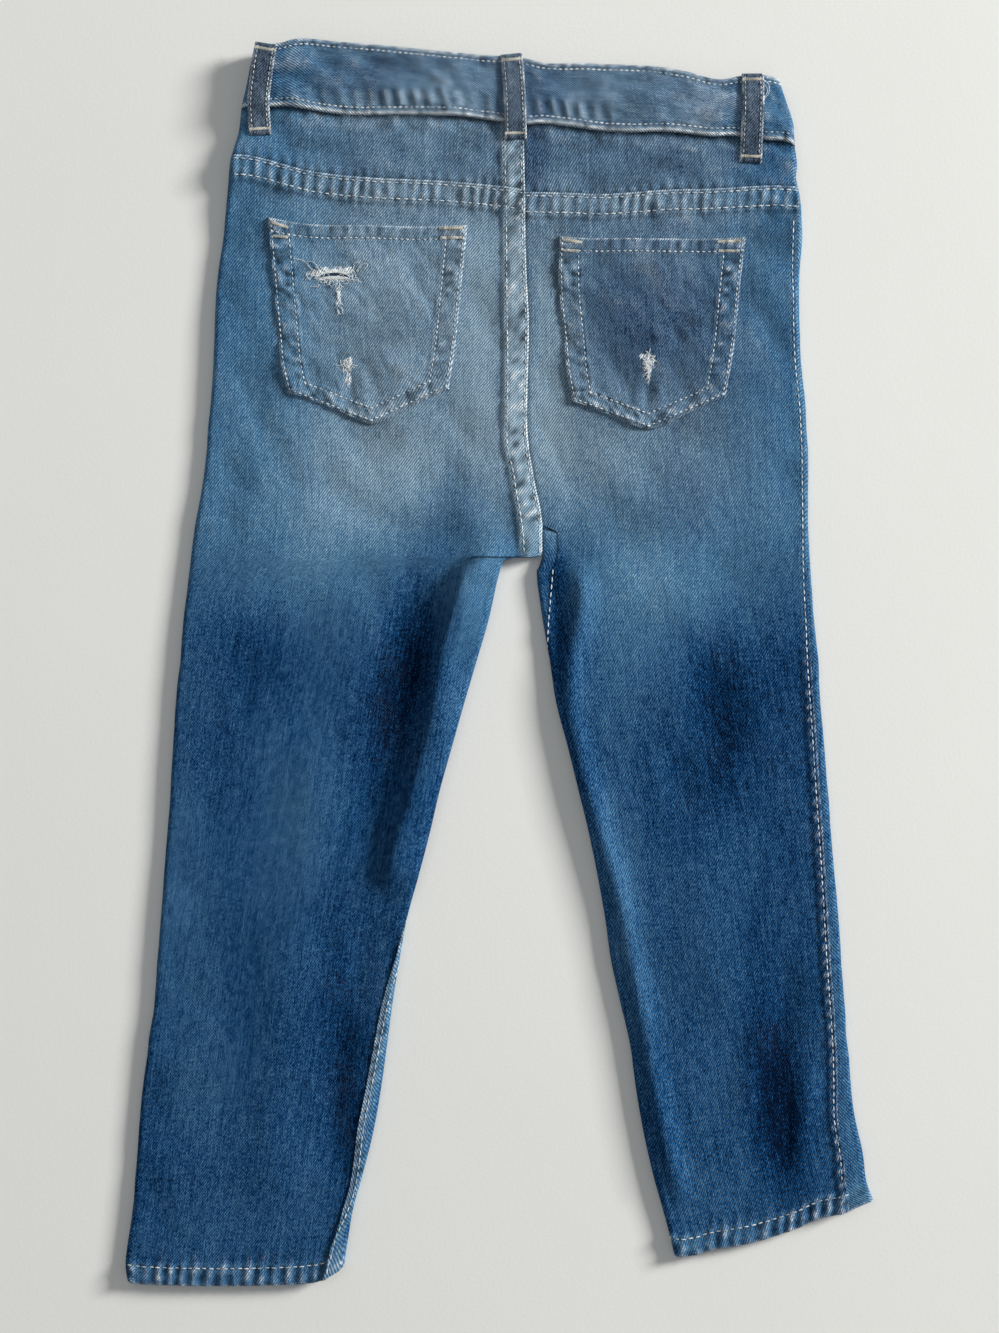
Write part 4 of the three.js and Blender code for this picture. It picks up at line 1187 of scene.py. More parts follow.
def denim_weave(colours):
    """The weave and wash of denim: a right-hand twill of indigo warp over white weft, with painted shade and
    painted light and shade on its ribs.

    Grain is the cloth's own plane in metres, with the warp along its second axis.
    """
    tree, given, out = new_group("Denim weave", "ShaderNodeTree", (
        ("Grain", "NodeSocketVector", "INPUT", None),
        ("Fade", "NodeSocketFloat", "INPUT", 0.3),
        ("Wear", "NodeSocketFloat", "INPUT", 0.0),
        ("Shade", "NodeSocketFloat", "INPUT", 0.0),
        ("Grey", "NodeSocketFloat", "INPUT", 0.0),
        ("Warp pitch", "NodeSocketFloat", "INPUT", 0.00042),
        ("Weft pitch", "NodeSocketFloat", "INPUT", 0.00058),
        ("Weft shown", "NodeSocketFloat", "INPUT", 0.3),
        ("Colour", "NodeSocketColor", "OUTPUT", None),
        ("Height", "NodeSocketFloat", "OUTPUT", None),
        ("Roughness", "NodeSocketFloat", "OUTPUT", None),
    ))
    split = node(tree, "ShaderNodeSeparateXYZ", {0: given["Grain"]})
    warp = calc(tree, "DIVIDE", split.outputs[0], given["Warp pitch"])
    weft = calc(tree, "DIVIDE", split.outputs[1], given["Weft pitch"])
    rib = calc(tree, "DIVIDE", calc(tree, "SUBTRACT", warp, weft), 3.0)
    ribs = cycle(tree, vary(tree, streaks(tree, given["Grain"], 0.004, 0.009), 0.35, rib))
    yarn, pick = cycle(tree, warp), cycle(tree, weft)
    fine = streaks(tree, given["Grain"], 0.0005, 0.007, 2.0)
    slub = streaks(tree, given["Grain"], 0.0011, 0.026, 1.0)
    broad = streaks(tree, given["Grain"], 0.004, 0.06, 1.0)
    mottle = streaks(tree, given["Grain"], 0.0032, 0.0036, 3.0)
    speck = streaks(tree, given["Grain"], 0.00042, 0.0006, 0.0)
    grit = streaks(tree, given["Grain"], 0.0007, 0.0012, 2.0)

    uneven = 0.0
    for mark, amount in ((slub, 0.2), (fine, 0.34), (grit, 0.7), (broad, 0.08), (mottle, 0.26)):
        uneven = vary(tree, mark, amount, uneven)
    faded = calc(tree, "ADD", given["Fade"], uneven, clamp=True)
    ramp = node(tree, "ShaderNodeValToRGB", {0: faded})
    stops = ramp.color_ramp.elements
    while len(stops) < len(colours.ramp):
        stops.new(0.5)
    for stop, (place, colour) in zip(stops, colours.ramp):
        stop.position, stop.color = place, colour
    sunk = calc(tree, "SUBTRACT", 1.0, ribs)
    weft_seen = calc(tree, "MULTIPLY_ADD", pick, 0.7, 0.3)
    weft_seen = calc(tree, "MULTIPLY", calc(tree, "POWER", sunk, 2.2), weft_seen)
    weft_seen = calc(tree, "MULTIPLY", weft_seen, calc(tree, "MULTIPLY_ADD", speck, 1.5, 0.1))
    pale_share = calc(tree, "MULTIPLY_ADD", faded, 1.5, -0.26, clamp=True)
    shown = calc(tree, "MULTIPLY", given["Weft shown"], pale_share)
    colour = blend_colours(tree, calc(tree, "MULTIPLY", weft_seen, shown, clamp=True), ramp.outputs[0],
                           colours.weft)
    level = node(tree, "ShaderNodeRGBToBW", {0: colour})
    dulled = blend_colours(tree, 0.18, level.outputs[0], colours.weft, "MULTIPLY")
    colour = blend_colours(tree, given["Grey"], colour, dulled)
    rough_wear = vary(tree, fine, 0.8, vary(tree, speck, 1.3, given["Wear"]))
    worn = calc(tree, "MULTIPLY", calc(tree, "MULTIPLY", rough_wear, given["Wear"]), 1.35, clamp=True)
    colour = blend_colours(tree, worn, colour, colours.worn)
    # painted shade from the Shade value, then painted light and shade of the twill ribs: brighter on their
    # crests, darker between them
    dark = calc(tree, "SUBTRACT", 1.0, calc(tree, "MULTIPLY", given["Shade"], 0.72))
    dark = calc(tree, "MULTIPLY", dark, calc(tree, "MULTIPLY_ADD", ribs, 1.35, 0.38))
    shaded = node(tree, "ShaderNodeVectorMath", {0: colour, "Scale": dark}, operation="SCALE")
    tree.links.new(shaded.outputs[0], out["Colour"])
    relief = calc(tree, "MULTIPLY_ADD", yarn, 0.25, calc(tree, "MULTIPLY", ribs, 0.5))
    relief = calc(tree, "MULTIPLY_ADD", fine, 0.45, relief)
    tree.links.new(calc(tree, "MULTIPLY_ADD", slub, 0.3, relief), out["Height"])
    tree.links.new(calc(tree, "MULTIPLY_ADD", speck, 0.12, 0.8), out["Roughness"])
    return tree


def new_material(name):
    """An empty node material with its shader."""
    made = bpy.data.materials.new(name)
    made.use_nodes = True
    tree = made.node_tree
    tree.nodes.clear()
    shader = tree.nodes.new("ShaderNodeBsdfPrincipled")
    output = tree.nodes.new("ShaderNodeOutputMaterial")
    tree.links.new(shader.outputs[0], output.inputs[0])
    return made, tree, shader


def set_finish(tree, shader, colour, roughness, height, strength, distance, **fixed):
    """Links a finish and its relief to the shader, and sets what is the same all over it."""
    relief = node(tree, "ShaderNodeBump", {"Strength": strength, "Distance": distance, "Height": height})
    for key, socket in (("Base Color", colour), ("Roughness", roughness), ("Normal", relief.outputs[0])):
        tree.links.new(socket, shader.inputs[key])
    for key, value in fixed.items():
        shader.inputs[key.replace("_", " ")].default_value = value


def denim(name, weave, warp_pitch=0.00042, weft_pitch=0.00058, weft_shown=0.3, relief=0.00034):
    """Denim cloth as its weave group with this panel's own thread spacing."""
    made, tree, shader = new_material(name)
    grain = node(tree, "ShaderNodeUVMap", uv_map="UVMap")
    cloth = tree.nodes.new("ShaderNodeGroup")
    cloth.node_tree = weave
    tree.links.new(grain.outputs[0], cloth.inputs["Grain"])
    for key in ("Fade", "Wear", "Shade", "Grey"):
        read = node(tree, "ShaderNodeAttribute", attribute_name=key.lower())
        tree.links.new(read.outputs["Fac"], cloth.inputs[key])
    for key, value in (("Warp pitch", warp_pitch), ("Weft pitch", weft_pitch), ("Weft shown", weft_shown)):
        cloth.inputs[key].default_value = value
    set_finish(tree, shader, *(cloth.outputs[key] for key in ("Colour", "Roughness", "Height")), 0.75, relief,
               Specular_IOR_Level=0.02, Sheen_Weight=0.01, Sheen_Roughness=0.6)
    return made


def twisted_yarn():
    """The twist and dirt of sewing thread, as a mask and a height, over Object coordinates."""
    tree, given, out = new_group("Twisted yarn", "ShaderNodeTree", (
        ("Place", "NodeSocketVector", "INPUT", None),
        ("Ply", "NodeSocketFloat", "INPUT", 0.0004),
        ("Mask", "NodeSocketFloat", "OUTPUT", None),
        ("Height", "NodeSocketFloat", "OUTPUT", None),
    ))
    split = node(tree, "ShaderNodeSeparateXYZ", {0: given["Place"]})
    lean = calc(tree, "ADD", split.outputs[0], split.outputs[1])
    twist = calc(tree, "SINE", calc(tree, "MULTIPLY", calc(tree, "DIVIDE", lean, given["Ply"]), 2 * math.pi))
    drift = node(tree, "ShaderNodeTexNoise", {"Vector": given["Place"], "Scale": 160.0, "Detail": 2.0})
    tree.links.new(drift.outputs["Fac"], out["Mask"])
    tree.links.new(calc(tree, "MULTIPLY_ADD", twist, 0.5, 0.5), out["Height"])
    return tree


def thread_material(name, yarn, light, dark, ply=0.0004):
    """Sewing thread that varies between two colours as it takes up dye from the denim."""
    made, tree, shader = new_material(name)
    place = tree.nodes.new("ShaderNodeTexCoord").outputs["Object"]
    group = tree.nodes.new("ShaderNodeGroup")
    group.node_tree = yarn
    tree.links.new(place, group.inputs["Place"])
    group.inputs["Ply"].default_value = ply
    ramp = node(tree, "ShaderNodeValToRGB", {0: group.outputs["Mask"]})
    for stop, value, colour in zip(ramp.color_ramp.elements, (0.36, 0.62), (dark, light)):
        stop.position, stop.color = value, colour
    rough = calc(tree, "MULTIPLY_ADD", group.outputs["Mask"], 0.2, 0.6)
    set_finish(tree, shader, ramp.outputs[0], rough, group.outputs["Height"], 0.5, 0.0001,
               Specular_IOR_Level=0.25)
    return made


def button_metal(name, colour):
    """Brushed and slightly tarnished metal for the waist button."""
    made, tree, shader = new_material(name)
    place = tree.nodes.new("ShaderNodeTexCoord").outputs["Object"]
    tarnish = node(tree, "ShaderNodeTexNoise", {"Vector": place, "Scale": 420.0, "Detail": 5.0})
    brushed = node(tree, "ShaderNodeMapping", {"Vector": place, "Scale": (300.0, 9000.0, 300.0)})
    lines = node(tree, "ShaderNodeTexNoise", {"Vector": brushed.outputs[0], "Scale": 1.0, "Detail": 2.0})
    dark = tuple(0.45 * c for c in colour[:3]) + (1.0,)
    mixed = blend_colours(tree, tarnish.outputs["Fac"], colour, dark)
    rough = calc(tree, "MULTIPLY_ADD", tarnish.outputs["Fac"], 0.35, 0.22)
    set_finish(tree, shader, mixed, rough, lines.outputs["Fac"], 0.25, 0.00005, Metallic=1.0)
    return made


def floor_material(name, colour):
    """Off-white board with a faint tooth."""
    made, tree, shader = new_material(name)
    place = tree.nodes.new("ShaderNodeTexCoord").outputs["Object"]
    tooth = node(tree, "ShaderNodeTexNoise", {"Vector": place, "Scale": 700.0, "Detail": 4.0})
    cloud = node(tree, "ShaderNodeTexNoise", {"Vector": place, "Scale": 6.0, "Detail": 2.0})
    darker = tuple(0.955 * c for c in colour[:3]) + (1.0,)
    mixed = blend_colours(tree, cloud.outputs["Fac"], darker, colour)
    rough = calc(tree, "MULTIPLY_ADD", tooth.outputs["Fac"], 0.1, 0.78)
    set_finish(tree, shader, mixed, rough, tooth.outputs["Fac"], 0.25, 0.0002, Specular_IOR_Level=0.2)
    return made


def guide_points(tree, guide, spacing):
    """The lines of a guide mesh as curves with evenly spaced points."""
    lines = node(tree, "GeometryNodeMeshToCurve", {0: guide})
    made = node(tree, "GeometryNodeResampleCurve", {"Curve": lines.outputs[0], "Length": spacing},
                mode="LENGTH")
    return made.outputs[0]


def finish_tree(tree, shape, thread, out):
    """Ends a geometry tree: its instances made real, smooth and given their thread."""
    real = node(tree, "GeometryNodeRealizeInstances", {0: shape})
    smooth = node(tree, "GeometryNodeSetShadeSmooth", {0: real.outputs[0]})
    coloured = node(tree, "GeometryNodeSetMaterial", {"Geometry": smooth.outputs[0], "Material": thread})
    tree.links.new(coloured.outputs[0], out[0])
    return tree


def stitch_tree():
    """Geometry tree that lays stitches end to end along every line of a guide mesh."""
    tree, given, out = new_group("Stitch row", "GeometryNodeTree", (
        ("Guide", "NodeSocketGeometry", "INPUT", None),
        ("Pitch", "NodeSocketFloat", "INPUT", 0.0037),
        ("Length", "NodeSocketFloat", "INPUT", 0.003),
        ("Width", "NodeSocketFloat", "INPUT", 0.0006),
        ("Thickness", "NodeSocketFloat", "INPUT", 0.0005),
        ("Turn", "NodeSocketFloat", "INPUT", 0.0),
        ("Unevenness", "NodeSocketFloat", "INPUT", 0.12),
        ("Seed", "NodeSocketInt", "INPUT", 1),
        ("Thread", "NodeSocketMaterial", "INPUT", None),
        ("Stitches", "NodeSocketGeometry", "OUTPUT", None),
    ))
    points = guide_points(tree, given["Guide"], given["Pitch"])
    tangent = tree.nodes.new("GeometryNodeInputTangent")
    facing = node(tree, "FunctionNodeAxesToRotation",
                  {0: tangent.outputs[0], 1: (0.0, 0.0, 1.0)}, primary_axis="X", secondary_axis="Z")
    wobble = node(tree, "FunctionNodeRandomValue", {"Seed": given["Seed"]}, data_type="FLOAT")
    wobble.inputs[2].default_value, wobble.inputs[3].default_value = -0.5, 0.5
    spread = calc(tree, "MULTIPLY", wobble.outputs[1], given["Unevenness"])
    angle = node(tree, "ShaderNodeCombineXYZ", {"Z": calc(tree, "ADD", given["Turn"], spread)})
    euler = node(tree, "FunctionNodeEulerToRotation", {0: angle.outputs[0]})
    turned = node(tree, "FunctionNodeRotateRotation", {0: facing.outputs[0], 1: euler.outputs[0]},
                  rotation_space="LOCAL")
    size = node(tree, "ShaderNodeCombineXYZ", {
        "X": given["Length"], "Y": given["Width"], "Z": given["Thickness"]})
    uneven = calc(tree, "ADD", calc(tree, "MULTIPLY", spread, 0.8), 1.0)
    scaled = node(tree, "ShaderNodeVectorMath", {0: size.outputs[0], "Scale": uneven}, operation="SCALE")
    bead = node(tree, "GeometryNodeMeshUVSphere", {"Segments": 6, "Rings": 5, "Radius": 0.5})
    upright = node(tree, "GeometryNodeTransform", {
        "Geometry": bead.outputs[0], "Rotation": (0, math.pi / 2, 0)})
    placed = node(tree, "GeometryNodeInstanceOnPoints", {
        "Points": points, "Instance": upright.outputs[0], "Rotation": turned.outputs[0],
        "Scale": scaled.outputs[0]})
    return finish_tree(tree, placed.outputs[0], given["Thread"], out)


def loose_thread_tree():
    """Geometry tree that gives every line of a guide mesh a thin round yarn."""
    tree, given, out = new_group("Loose thread", "GeometryNodeTree", (
        ("Guide", "NodeSocketGeometry", "INPUT", None),
        ("Radius", "NodeSocketFloat", "INPUT", 0.00012),
        ("Spacing", "NodeSocketFloat", "INPUT", 0.0006),
        ("Thread", "NodeSocketMaterial", "INPUT", None),
        ("Yarn", "NodeSocketGeometry", "OUTPUT", None),
    ))
    points = guide_points(tree, given["Guide"], given["Spacing"])
    ring = node(tree, "GeometryNodeCurvePrimitiveCircle", {"Resolution": 5, "Radius": given["Radius"]})
    tube = node(tree, "GeometryNodeCurveToMesh", {"Curve": points, "Profile Curve": ring.outputs[0],
                                                  "Fill Caps": True})
    return finish_tree(tree, tube.outputs[0], given["Thread"], out)


def grow(name, guide, tree, **settings):
    """Runs a geometry tree on a guide mesh and keeps the result as a plain mesh object."""
    modifier = guide.modifiers.new("Grow", "NODES")
    modifier.node_group = tree
    for item in tree.interface.items_tree:
        key = item.name.lower()
        if item.in_out == "INPUT" and key in settings:
            modifier[item.identifier] = settings.pop(key)
    if settings:
        raise ValueError(f"{tree.name} has no inputs {sorted(settings)}")
    bpy.context.view_layer.update()
    evaluated = guide.evaluated_get(bpy.context.evaluated_depsgraph_get())
    mesh = bpy.data.meshes.new_from_object(evaluated)
    guide.modifiers.remove(modifier)
    bpy.data.objects.remove(guide)
    mesh.name = name
    if not len(mesh.polygons):
        raise RuntimeError(f"{name} came out empty")
    piece = bpy.data.objects.new(name, mesh)
    bpy.context.scene.collection.objects.link(piece)
    return piece


# ---------------------------------------------------------------- loose threads at the rips

def curl(rng, start, heading, length, bend, rise):
    """Points of one loose thread lying over the cloth, curling as it goes."""
    points, x, y = [], start[0], start[1]
    steps = max(4, int(length / 0.5))
    turn = rng.uniform(-bend, bend)
    for k in range(steps + 1):
        t = k / steps
        points.append((x, y, 0.16 + rise * math.sin(math.pi * min(1.0, 1.1 * t))))
        heading += turn / steps + rng.normal(0, bend * 0.12)
        x += math.cos(heading) * length / steps
        y += math.sin(heading) * length / steps
    return points


def slit_threads():
    """White weft left bare along the slit, and the frayed nap above and below it."""
    rng = np.random.default_rng(5)
    lines = []
    for k in range(44):
        side = rng.choice([1.0, -1.0])
        off = side * (0.75 + abs(rng.normal(0, 0.75)))
        middle = SLIT_MIDDLE + rng.normal(0, 2.6)
        half = rng.uniform(2.5, 7.0) * (1 - 0.12 * abs(off))
        row = []
        for t in np.linspace(-1, 1, 9):
            x = middle + half * t
            arc = SLIT_RISE * max(-0.3, 1 - ((x - SLIT_MIDDLE) / SLIT_HALF) ** 2)
            y = SLIT_Y + arc + off * (1 - 0.25 * t * t) + rng.normal(0, 0.12)
            row.append((x, y, 0.3 + 0.25 * (1 - t * t)))
        lines.append(row)
    for k in range(5):
        x = SLIT_MIDDLE + (k - 2) * 2.3
        lines.append([
            (x - 2.2, SLIT_Y - 0.4, 0.2), (x, SLIT_Y + SLIT_RISE, 0.35), (x + 2.2, SLIT_Y + 1.6, 0.2)])
    for k in range(78):
        x = SLIT_MIDDLE + rng.uniform(-1.7, 1.6) * SLIT_HALF
        y = SLIT_Y + rng.normal(0.8, 2.4)
        lines.append(curl(rng, (x, y), rng.uniform(0, 2 * math.pi), rng.uniform(1.2, 4.2), 3.4, 0.3))
    for k in range(18):
        y = rng.uniform(164, 178)
        lines.append(curl(rng, (-75.6 + rng.normal(0, 0.8), y), -math.pi / 2 + rng.normal(0, 0.5),
                          rng.uniform(1.2, 4.0), 1.6, 0.15))
    lines.append([(-97, 189, 0.2), (-94, 188.6, 0.5), (-92, 188, 0.6), (-90, 186.2, 0.5), (-88, 183.6, 0.3)])
    lines.append([
        (-67, 183, 0.2), (-64.5, 186, 0.6), (-62.2, 186.6, 0.6), (-61.9, 185, 0.5), (-63.4, 184.4, 0.3)])
    lines.append([(-84, 182.4, 0.2), (-85.5, 185.4, 0.5), (-88, 187.6, 0.5), (-90.4, 187.4, 0.3)])
    return lines


def scuff_threads(middle, seed):
    """The nap around a small rubbed spot, mostly pulled up and down."""
    rng = np.random.default_rng(seed)
    lines = []
    for k in range(34):
        angle = rng.choice([math.pi / 2, -math.pi / 2]) + rng.normal(0, 0.75)
        start = (middle[0] + rng.normal(0, 1.1), middle[1] + rng.normal(0, 1.7))
        lines.append(curl(rng, start, angle, rng.uniform(1.0, 4.0), 1.6, 0.25))
    for k in range(8):
        start = (middle[0] + rng.normal(0, 0.4), middle[1] - rng.uniform(3, 7))
        lines.append(curl(rng, start, -math.pi / 2 + rng.normal(0, 0.3), rng.uniform(1.5, 4), 0.8, 0.12))
    return lines


# ---------------------------------------------------------------- what the pieces are, for the frame

# Cloth piece: its CAD node, its material slot, and what it rests on
CLOTH = {
    "denim_front_leg_left": ("front_leg_left", "denim_front", "jeans_floor"),
    "denim_front_leg_right": ("front_leg_right", "denim_front", "jeans_floor"),
    "denim_back_leg_left": ("back_leg_left", "denim_back", "denim_front_leg_left"),
    "denim_back_leg_right": ("back_leg_right", "denim_back", "denim_front_leg_right"),
    "denim_back_yoke_left": ("back_yoke_left", "denim_back", "denim_front_leg_left"),
    "denim_back_yoke_right": ("back_yoke_right", "denim_back", "denim_front_leg_right"),
    "denim_waistband": ("waistband", "denim_band", "denim_front_leg_left"),
    "denim_pocket_left": ("back_pocket_left", "denim_pocket", "denim_back_leg_left"),
    "denim_pocket_right": ("back_pocket_right", "denim_pocket", "denim_back_leg_right"),
    "denim_loop_back_left": ("belt_loop_back_left", "denim_loop", "denim_waistband"),
    "denim_loop_back_centre": ("belt_loop_back_centre", "denim_loop", "denim_waistband"),
    "denim_loop_back_right": ("belt_loop_back_right", "denim_loop", "denim_waistband"),
    "denim_loop_front_left": ("belt_loop_front_left", "denim_loop", "jeans_floor"),
    "denim_loop_front_right": ("belt_loop_front_right", "denim_loop", "jeans_floor"),
}
# Thread piece: the slot that it takes its finish from, and the cloth it is sewn through
THREADS = {
    "stitches_back_leg_left": ("denim_back", "denim_back_leg_left"),
    "stitches_back_leg_right": ("denim_back", "denim_back_leg_right"),
    "stitches_inseam_left": ("denim_front", "denim_front_leg_left"),
    "stitches_yoke": ("denim_back", "denim_back_yoke_left"),
    "stitches_waistband": ("denim_band", "denim_waistband"),
    "stitches_pocket_left": ("denim_pocket", "denim_pocket_left"),
    "stitches_pocket_right": ("denim_pocket", "denim_pocket_right"),
    "stitches_belt_loops": ("denim_loop", "denim_loop_back_centre"),
    "bar_tacks": ("denim_loop", "denim_loop_back_left"),
    "frays_slit": ("denim_pocket", "denim_pocket_left"),
    "frays_spot_left": ("denim_pocket", "denim_pocket_left"),
    "frays_spot_right": ("denim_pocket", "denim_pocket_right"),
    "threads_loose": ("denim_pocket", "denim_loop_back_right"),
}


def piece(name):
    found = bpy.data.objects.get(name)
    if found is None:
        raise RuntimeError(f"{name} has not been built yet")
    return found


def declare_pieces():
    """Puts each finished piece on the root body, and hides the CAD part that each cloth stands for."""
    for name, (slot, _) in THREADS.items():
        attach(piece(name), "root")
    for name, (cad_node, slot, rests_on) in CLOTH.items():
        cloth = piece(name)
        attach(cloth, "root")
        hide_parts(cad_node)


# ---------------------------------------------------------------- settings, operators and panel

def from_hex(text):
    """A linear colour from its usual six-digit form."""
    shades = [int(text[k:k + 2], 16) / 255 for k in (0, 2, 4)]
    return tuple(c / 12.92 if c <= 0.04045 else ((c + 0.055) / 1.055) ** 2.4 for c in shades) + (1.0,)


def colour_prop(name, description, default):
    return FloatVectorProperty(name=name, description=description, default=from_hex(default), size=4,
                               min=0.0, max=1.0, subtype="COLOR")


class JeansClothSettings(bpy.types.PropertyGroup):
    deep: colour_prop("Deep indigo", "Denim that has not faded", "010F28")
    middle: colour_prop("Mid indigo", "Denim that has faded a little", "0A3D69")
    soft: colour_prop("Soft blue", "Denim that has faded well", "417296")
    pale: colour_prop("Pale blue", "Denim that has faded most", "7FA5BD")
    weft: colour_prop("Weft", "White yarn that shows between the ribs", "BCCAD4")
    worn: colour_prop("Worn", "Yarn rubbed white at edges and rips", "DCE4E8")
    weft_shown: FloatProperty(name="Weft shown", description="How strongly the weft shows", default=0.42,
                              min=0.0, max=1.0, subtype="FACTOR")

    @property
    def ramp(self):
        return ((0.0, tuple(self.deep)), (0.24, tuple(self.middle)), (0.62, tuple(self.soft)),
                (1.0, tuple(self.pale)))


class JeansThreadSettings(bpy.types.PropertyGroup):
    light: colour_prop("Thread", "Clean sewing thread", "DFE3E4")
    dark: colour_prop("Dyed thread", "Sewing thread that took up indigo", "93A3AE")
    tack_light: colour_prop("Tack thread", "Clean thread of the bar tacks", "D6D3C8")
    tack_dark: colour_prop("Tack shade", "Darker thread of the bar tacks", "A19F94")
    fray: colour_prop("Fray", "White yarn at the rips", "EEF1F2")
    pitch: FloatProperty(name="Pitch", description="Distance from one stitch to the next", default=0.0034,
                         min=0.001, max=0.01, unit="LENGTH", precision=4)
    length: FloatProperty(name="Length", description="Length of a stitch that shows", default=0.0025,
                          min=0.0005, max=0.01, unit="LENGTH", precision=4)
    width: FloatProperty(name="Width", description="Width of a stitch", default=0.0007,
                         min=0.0002, max=0.002, unit="LENGTH", precision=5)
    yarn_radius: FloatProperty(name="Yarn radius", description="Radius of a loose yarn", default=0.00011,
                               min=0.00002, max=0.001, unit="LENGTH", precision=5)
    seed: IntProperty(name="Seed", description="Varies how the stitches lean", default=4, min=0)


class JeansStageSettings(bpy.types.PropertyGroup):
    floor: colour_prop("Floor", "Colour of the surface the jeans lie on", "E6E6E2")
    camera_height: FloatProperty(name="Camera height", description="Height of the camera over the surface",
                                 default=1.25, min=0.3, max=5.0, unit="LENGTH")
    framed_height: FloatProperty(name="Framed height", description="Height of the view at the cloth",
                                 default=CAD_FRAMED, min=0.1, max=3.0, unit="LENGTH")
    key_power: FloatProperty(name="Key light", description="Power of the soft light from the right, in watts",
                             default=285.0, min=0.0, max=900.0)
    fill_power: FloatProperty(name="Fill light", description="Power of the soft overhead light, in watts",
                              default=6.0, min=0.0, max=200.0)
    world: FloatProperty(name="Room light", description="Strength of the even light from all round",
                         default=0.24, min=0.0, max=4.0)


def cloth_settings():
    return bpy.context.scene.jeans_cloth


def thread_settings():
    return bpy.context.scene.jeans_threads


def shared(collection, name, make):
    """A material or node group by name, made the first time it is asked for."""
    return collection.get(name) or make()


def denim_for(kind):
    """The denim of the panels, the pockets, the waistband or the belt loops."""
    weave = shared(bpy.data.node_groups, "Denim weave", lambda: denim_weave(cloth_settings()))
    shown = cloth_settings().weft_shown
    made = {
        "denim_panels": lambda: denim("denim_panels", weave, weft_shown=shown),
        "denim_pockets": lambda: denim("denim_pockets", weave, 0.0004, 0.00054, shown * 1.2, 0.00026),
        "denim_waistband": lambda: denim("denim_waistband", weave, 0.00038, 0.0005, shown, 0.00026),
        "denim_loops": lambda: denim("denim_loops", weave, 0.00042, 0.00052, shown * 1.3, 0.0003),
    }
    return shared(bpy.data.materials, kind, made[kind])


def thread_for(kind):
    """The thread of the stitch rows, the bar tacks or the frays."""
    yarn = shared(bpy.data.node_groups, "Twisted yarn", twisted_yarn)
    colours = thread_settings()
    made = {
        "seam_thread": lambda: thread_material("seam_thread", yarn, colours.light, colours.dark),
        "tack_thread": lambda: thread_material("tack_thread", yarn, colours.tack_light, colours.tack_dark),
        "fray_yarn": lambda: thread_material("fray_yarn", yarn, colours.fray, colours.light, 0.0003),
    }
    return shared(bpy.data.materials, kind, made[kind])


def sew(name, rows, ground, material="seam_thread", step=0.9, **settings):
    """Lays one row of stitches for each line of points and joins them into a piece."""
    use = thread_settings()
    tree = shared(bpy.data.node_groups, "Stitch row", stitch_tree)
    guide = guide_mesh(name + "_guide", rows, ground, step, STITCH_LIFT)
    values = {"pitch": use.pitch, "length": use.length, "width": use.width, "thickness": use.width * 0.8,
              "seed": use.seed, "thread": thread_for(material)}
    values.update(settings)
    return grow(name, guide, tree, **values)


def fray(name, lines, ground):
    tree = shared(bpy.data.node_groups, "Loose thread", loose_thread_tree)
    guide = guide_mesh(name + "_guide", lines, ground, FRAY_STEP)
    return grow(name, guide, tree, radius=thread_settings().yarn_radius, thread=thread_for("fray_yarn"))


class JEANS_OT_front_legs(bpy.types.Operator):
    """Build the two front legs, which lie underneath and turn up at the sides"""
    bl_idname = "jeans.front_legs"
    bl_label = "Front legs"

    def execute(self, context):
        build_front_leg_left(denim_for("denim_panels"))
        build_front_leg_right(denim_for("denim_panels"))
        return {"FINISHED"}


class JEANS_OT_back_legs(bpy.types.Operator):
    """Build the two back legs, with their seams, folds and hems"""
    bl_idname = "jeans.back_legs"
    bl_label = "Back legs"

    def execute(self, context):
        build_back_leg_left(denim_for("denim_panels"))
        build_back_leg_right(denim_for("denim_panels"))
        return {"FINISHED"}


class JEANS_OT_yokes(bpy.types.Operator):
    """Build the two halves of the back yoke"""
    bl_idname = "jeans.yokes"
    bl_label = "Back yokes"

    def execute(self, context):
        build_yoke(True, denim_for("denim_panels"))
        build_yoke(False, denim_for("denim_panels"))
        return {"FINISHED"}


class JEANS_OT_waistband(bpy.types.Operator):
    """Build the waistband all round, lapped at the front"""
    bl_idname = "jeans.waistband"
    bl_label = "Waistband"

    def execute(self, context):
        build_waistband(denim_for("denim_waistband"))
        return {"FINISHED"}


class JEANS_OT_pockets(bpy.types.Operator):
    """Build the two back pockets, the left one with its slit"""
    bl_idname = "jeans.pockets"
    bl_label = "Back pockets"

    def execute(self, context):
        build_pocket(True, denim_for("denim_pockets"))
        build_pocket(False, denim_for("denim_pockets"))
        return {"FINISHED"}


class JEANS_OT_belt_loops(bpy.types.Operator):
    """Build three belt loops over the back of the waist and two under its front"""
    bl_idname = "jeans.belt_loops"
    bl_label = "Belt loops"

    def execute(self, context):
        ground = Ground(*(piece(key) for key in (
            "denim_waistband", "denim_back_yoke_left", "denim_back_yoke_right")))
        for k, (side, middle) in enumerate(BACK_LOOPS.items()):
            build_belt_loop("denim_loop_back_" + side, middle, ground, denim_for("denim_loops"), 121 + 7 * k)
        for k, (side, middle) in enumerate(FRONT_LOOPS.items()):
            build_belt_loop("denim_loop_front_" + side, middle, None, denim_for("denim_loops"), 151 + 7 * k)
        return {"FINISHED"}


class JEANS_OT_button(bpy.types.Operator):
    """Give the waist button its metal"""
    bl_idname = "jeans.button"
    bl_label = "Waist button"

    def execute(self, context):
        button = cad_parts["waist_button"]
        button.data.materials.clear()
        button.data.materials.append(button_metal("button_metal", from_hex("9A8F7C")))
        return {"FINISHED"}


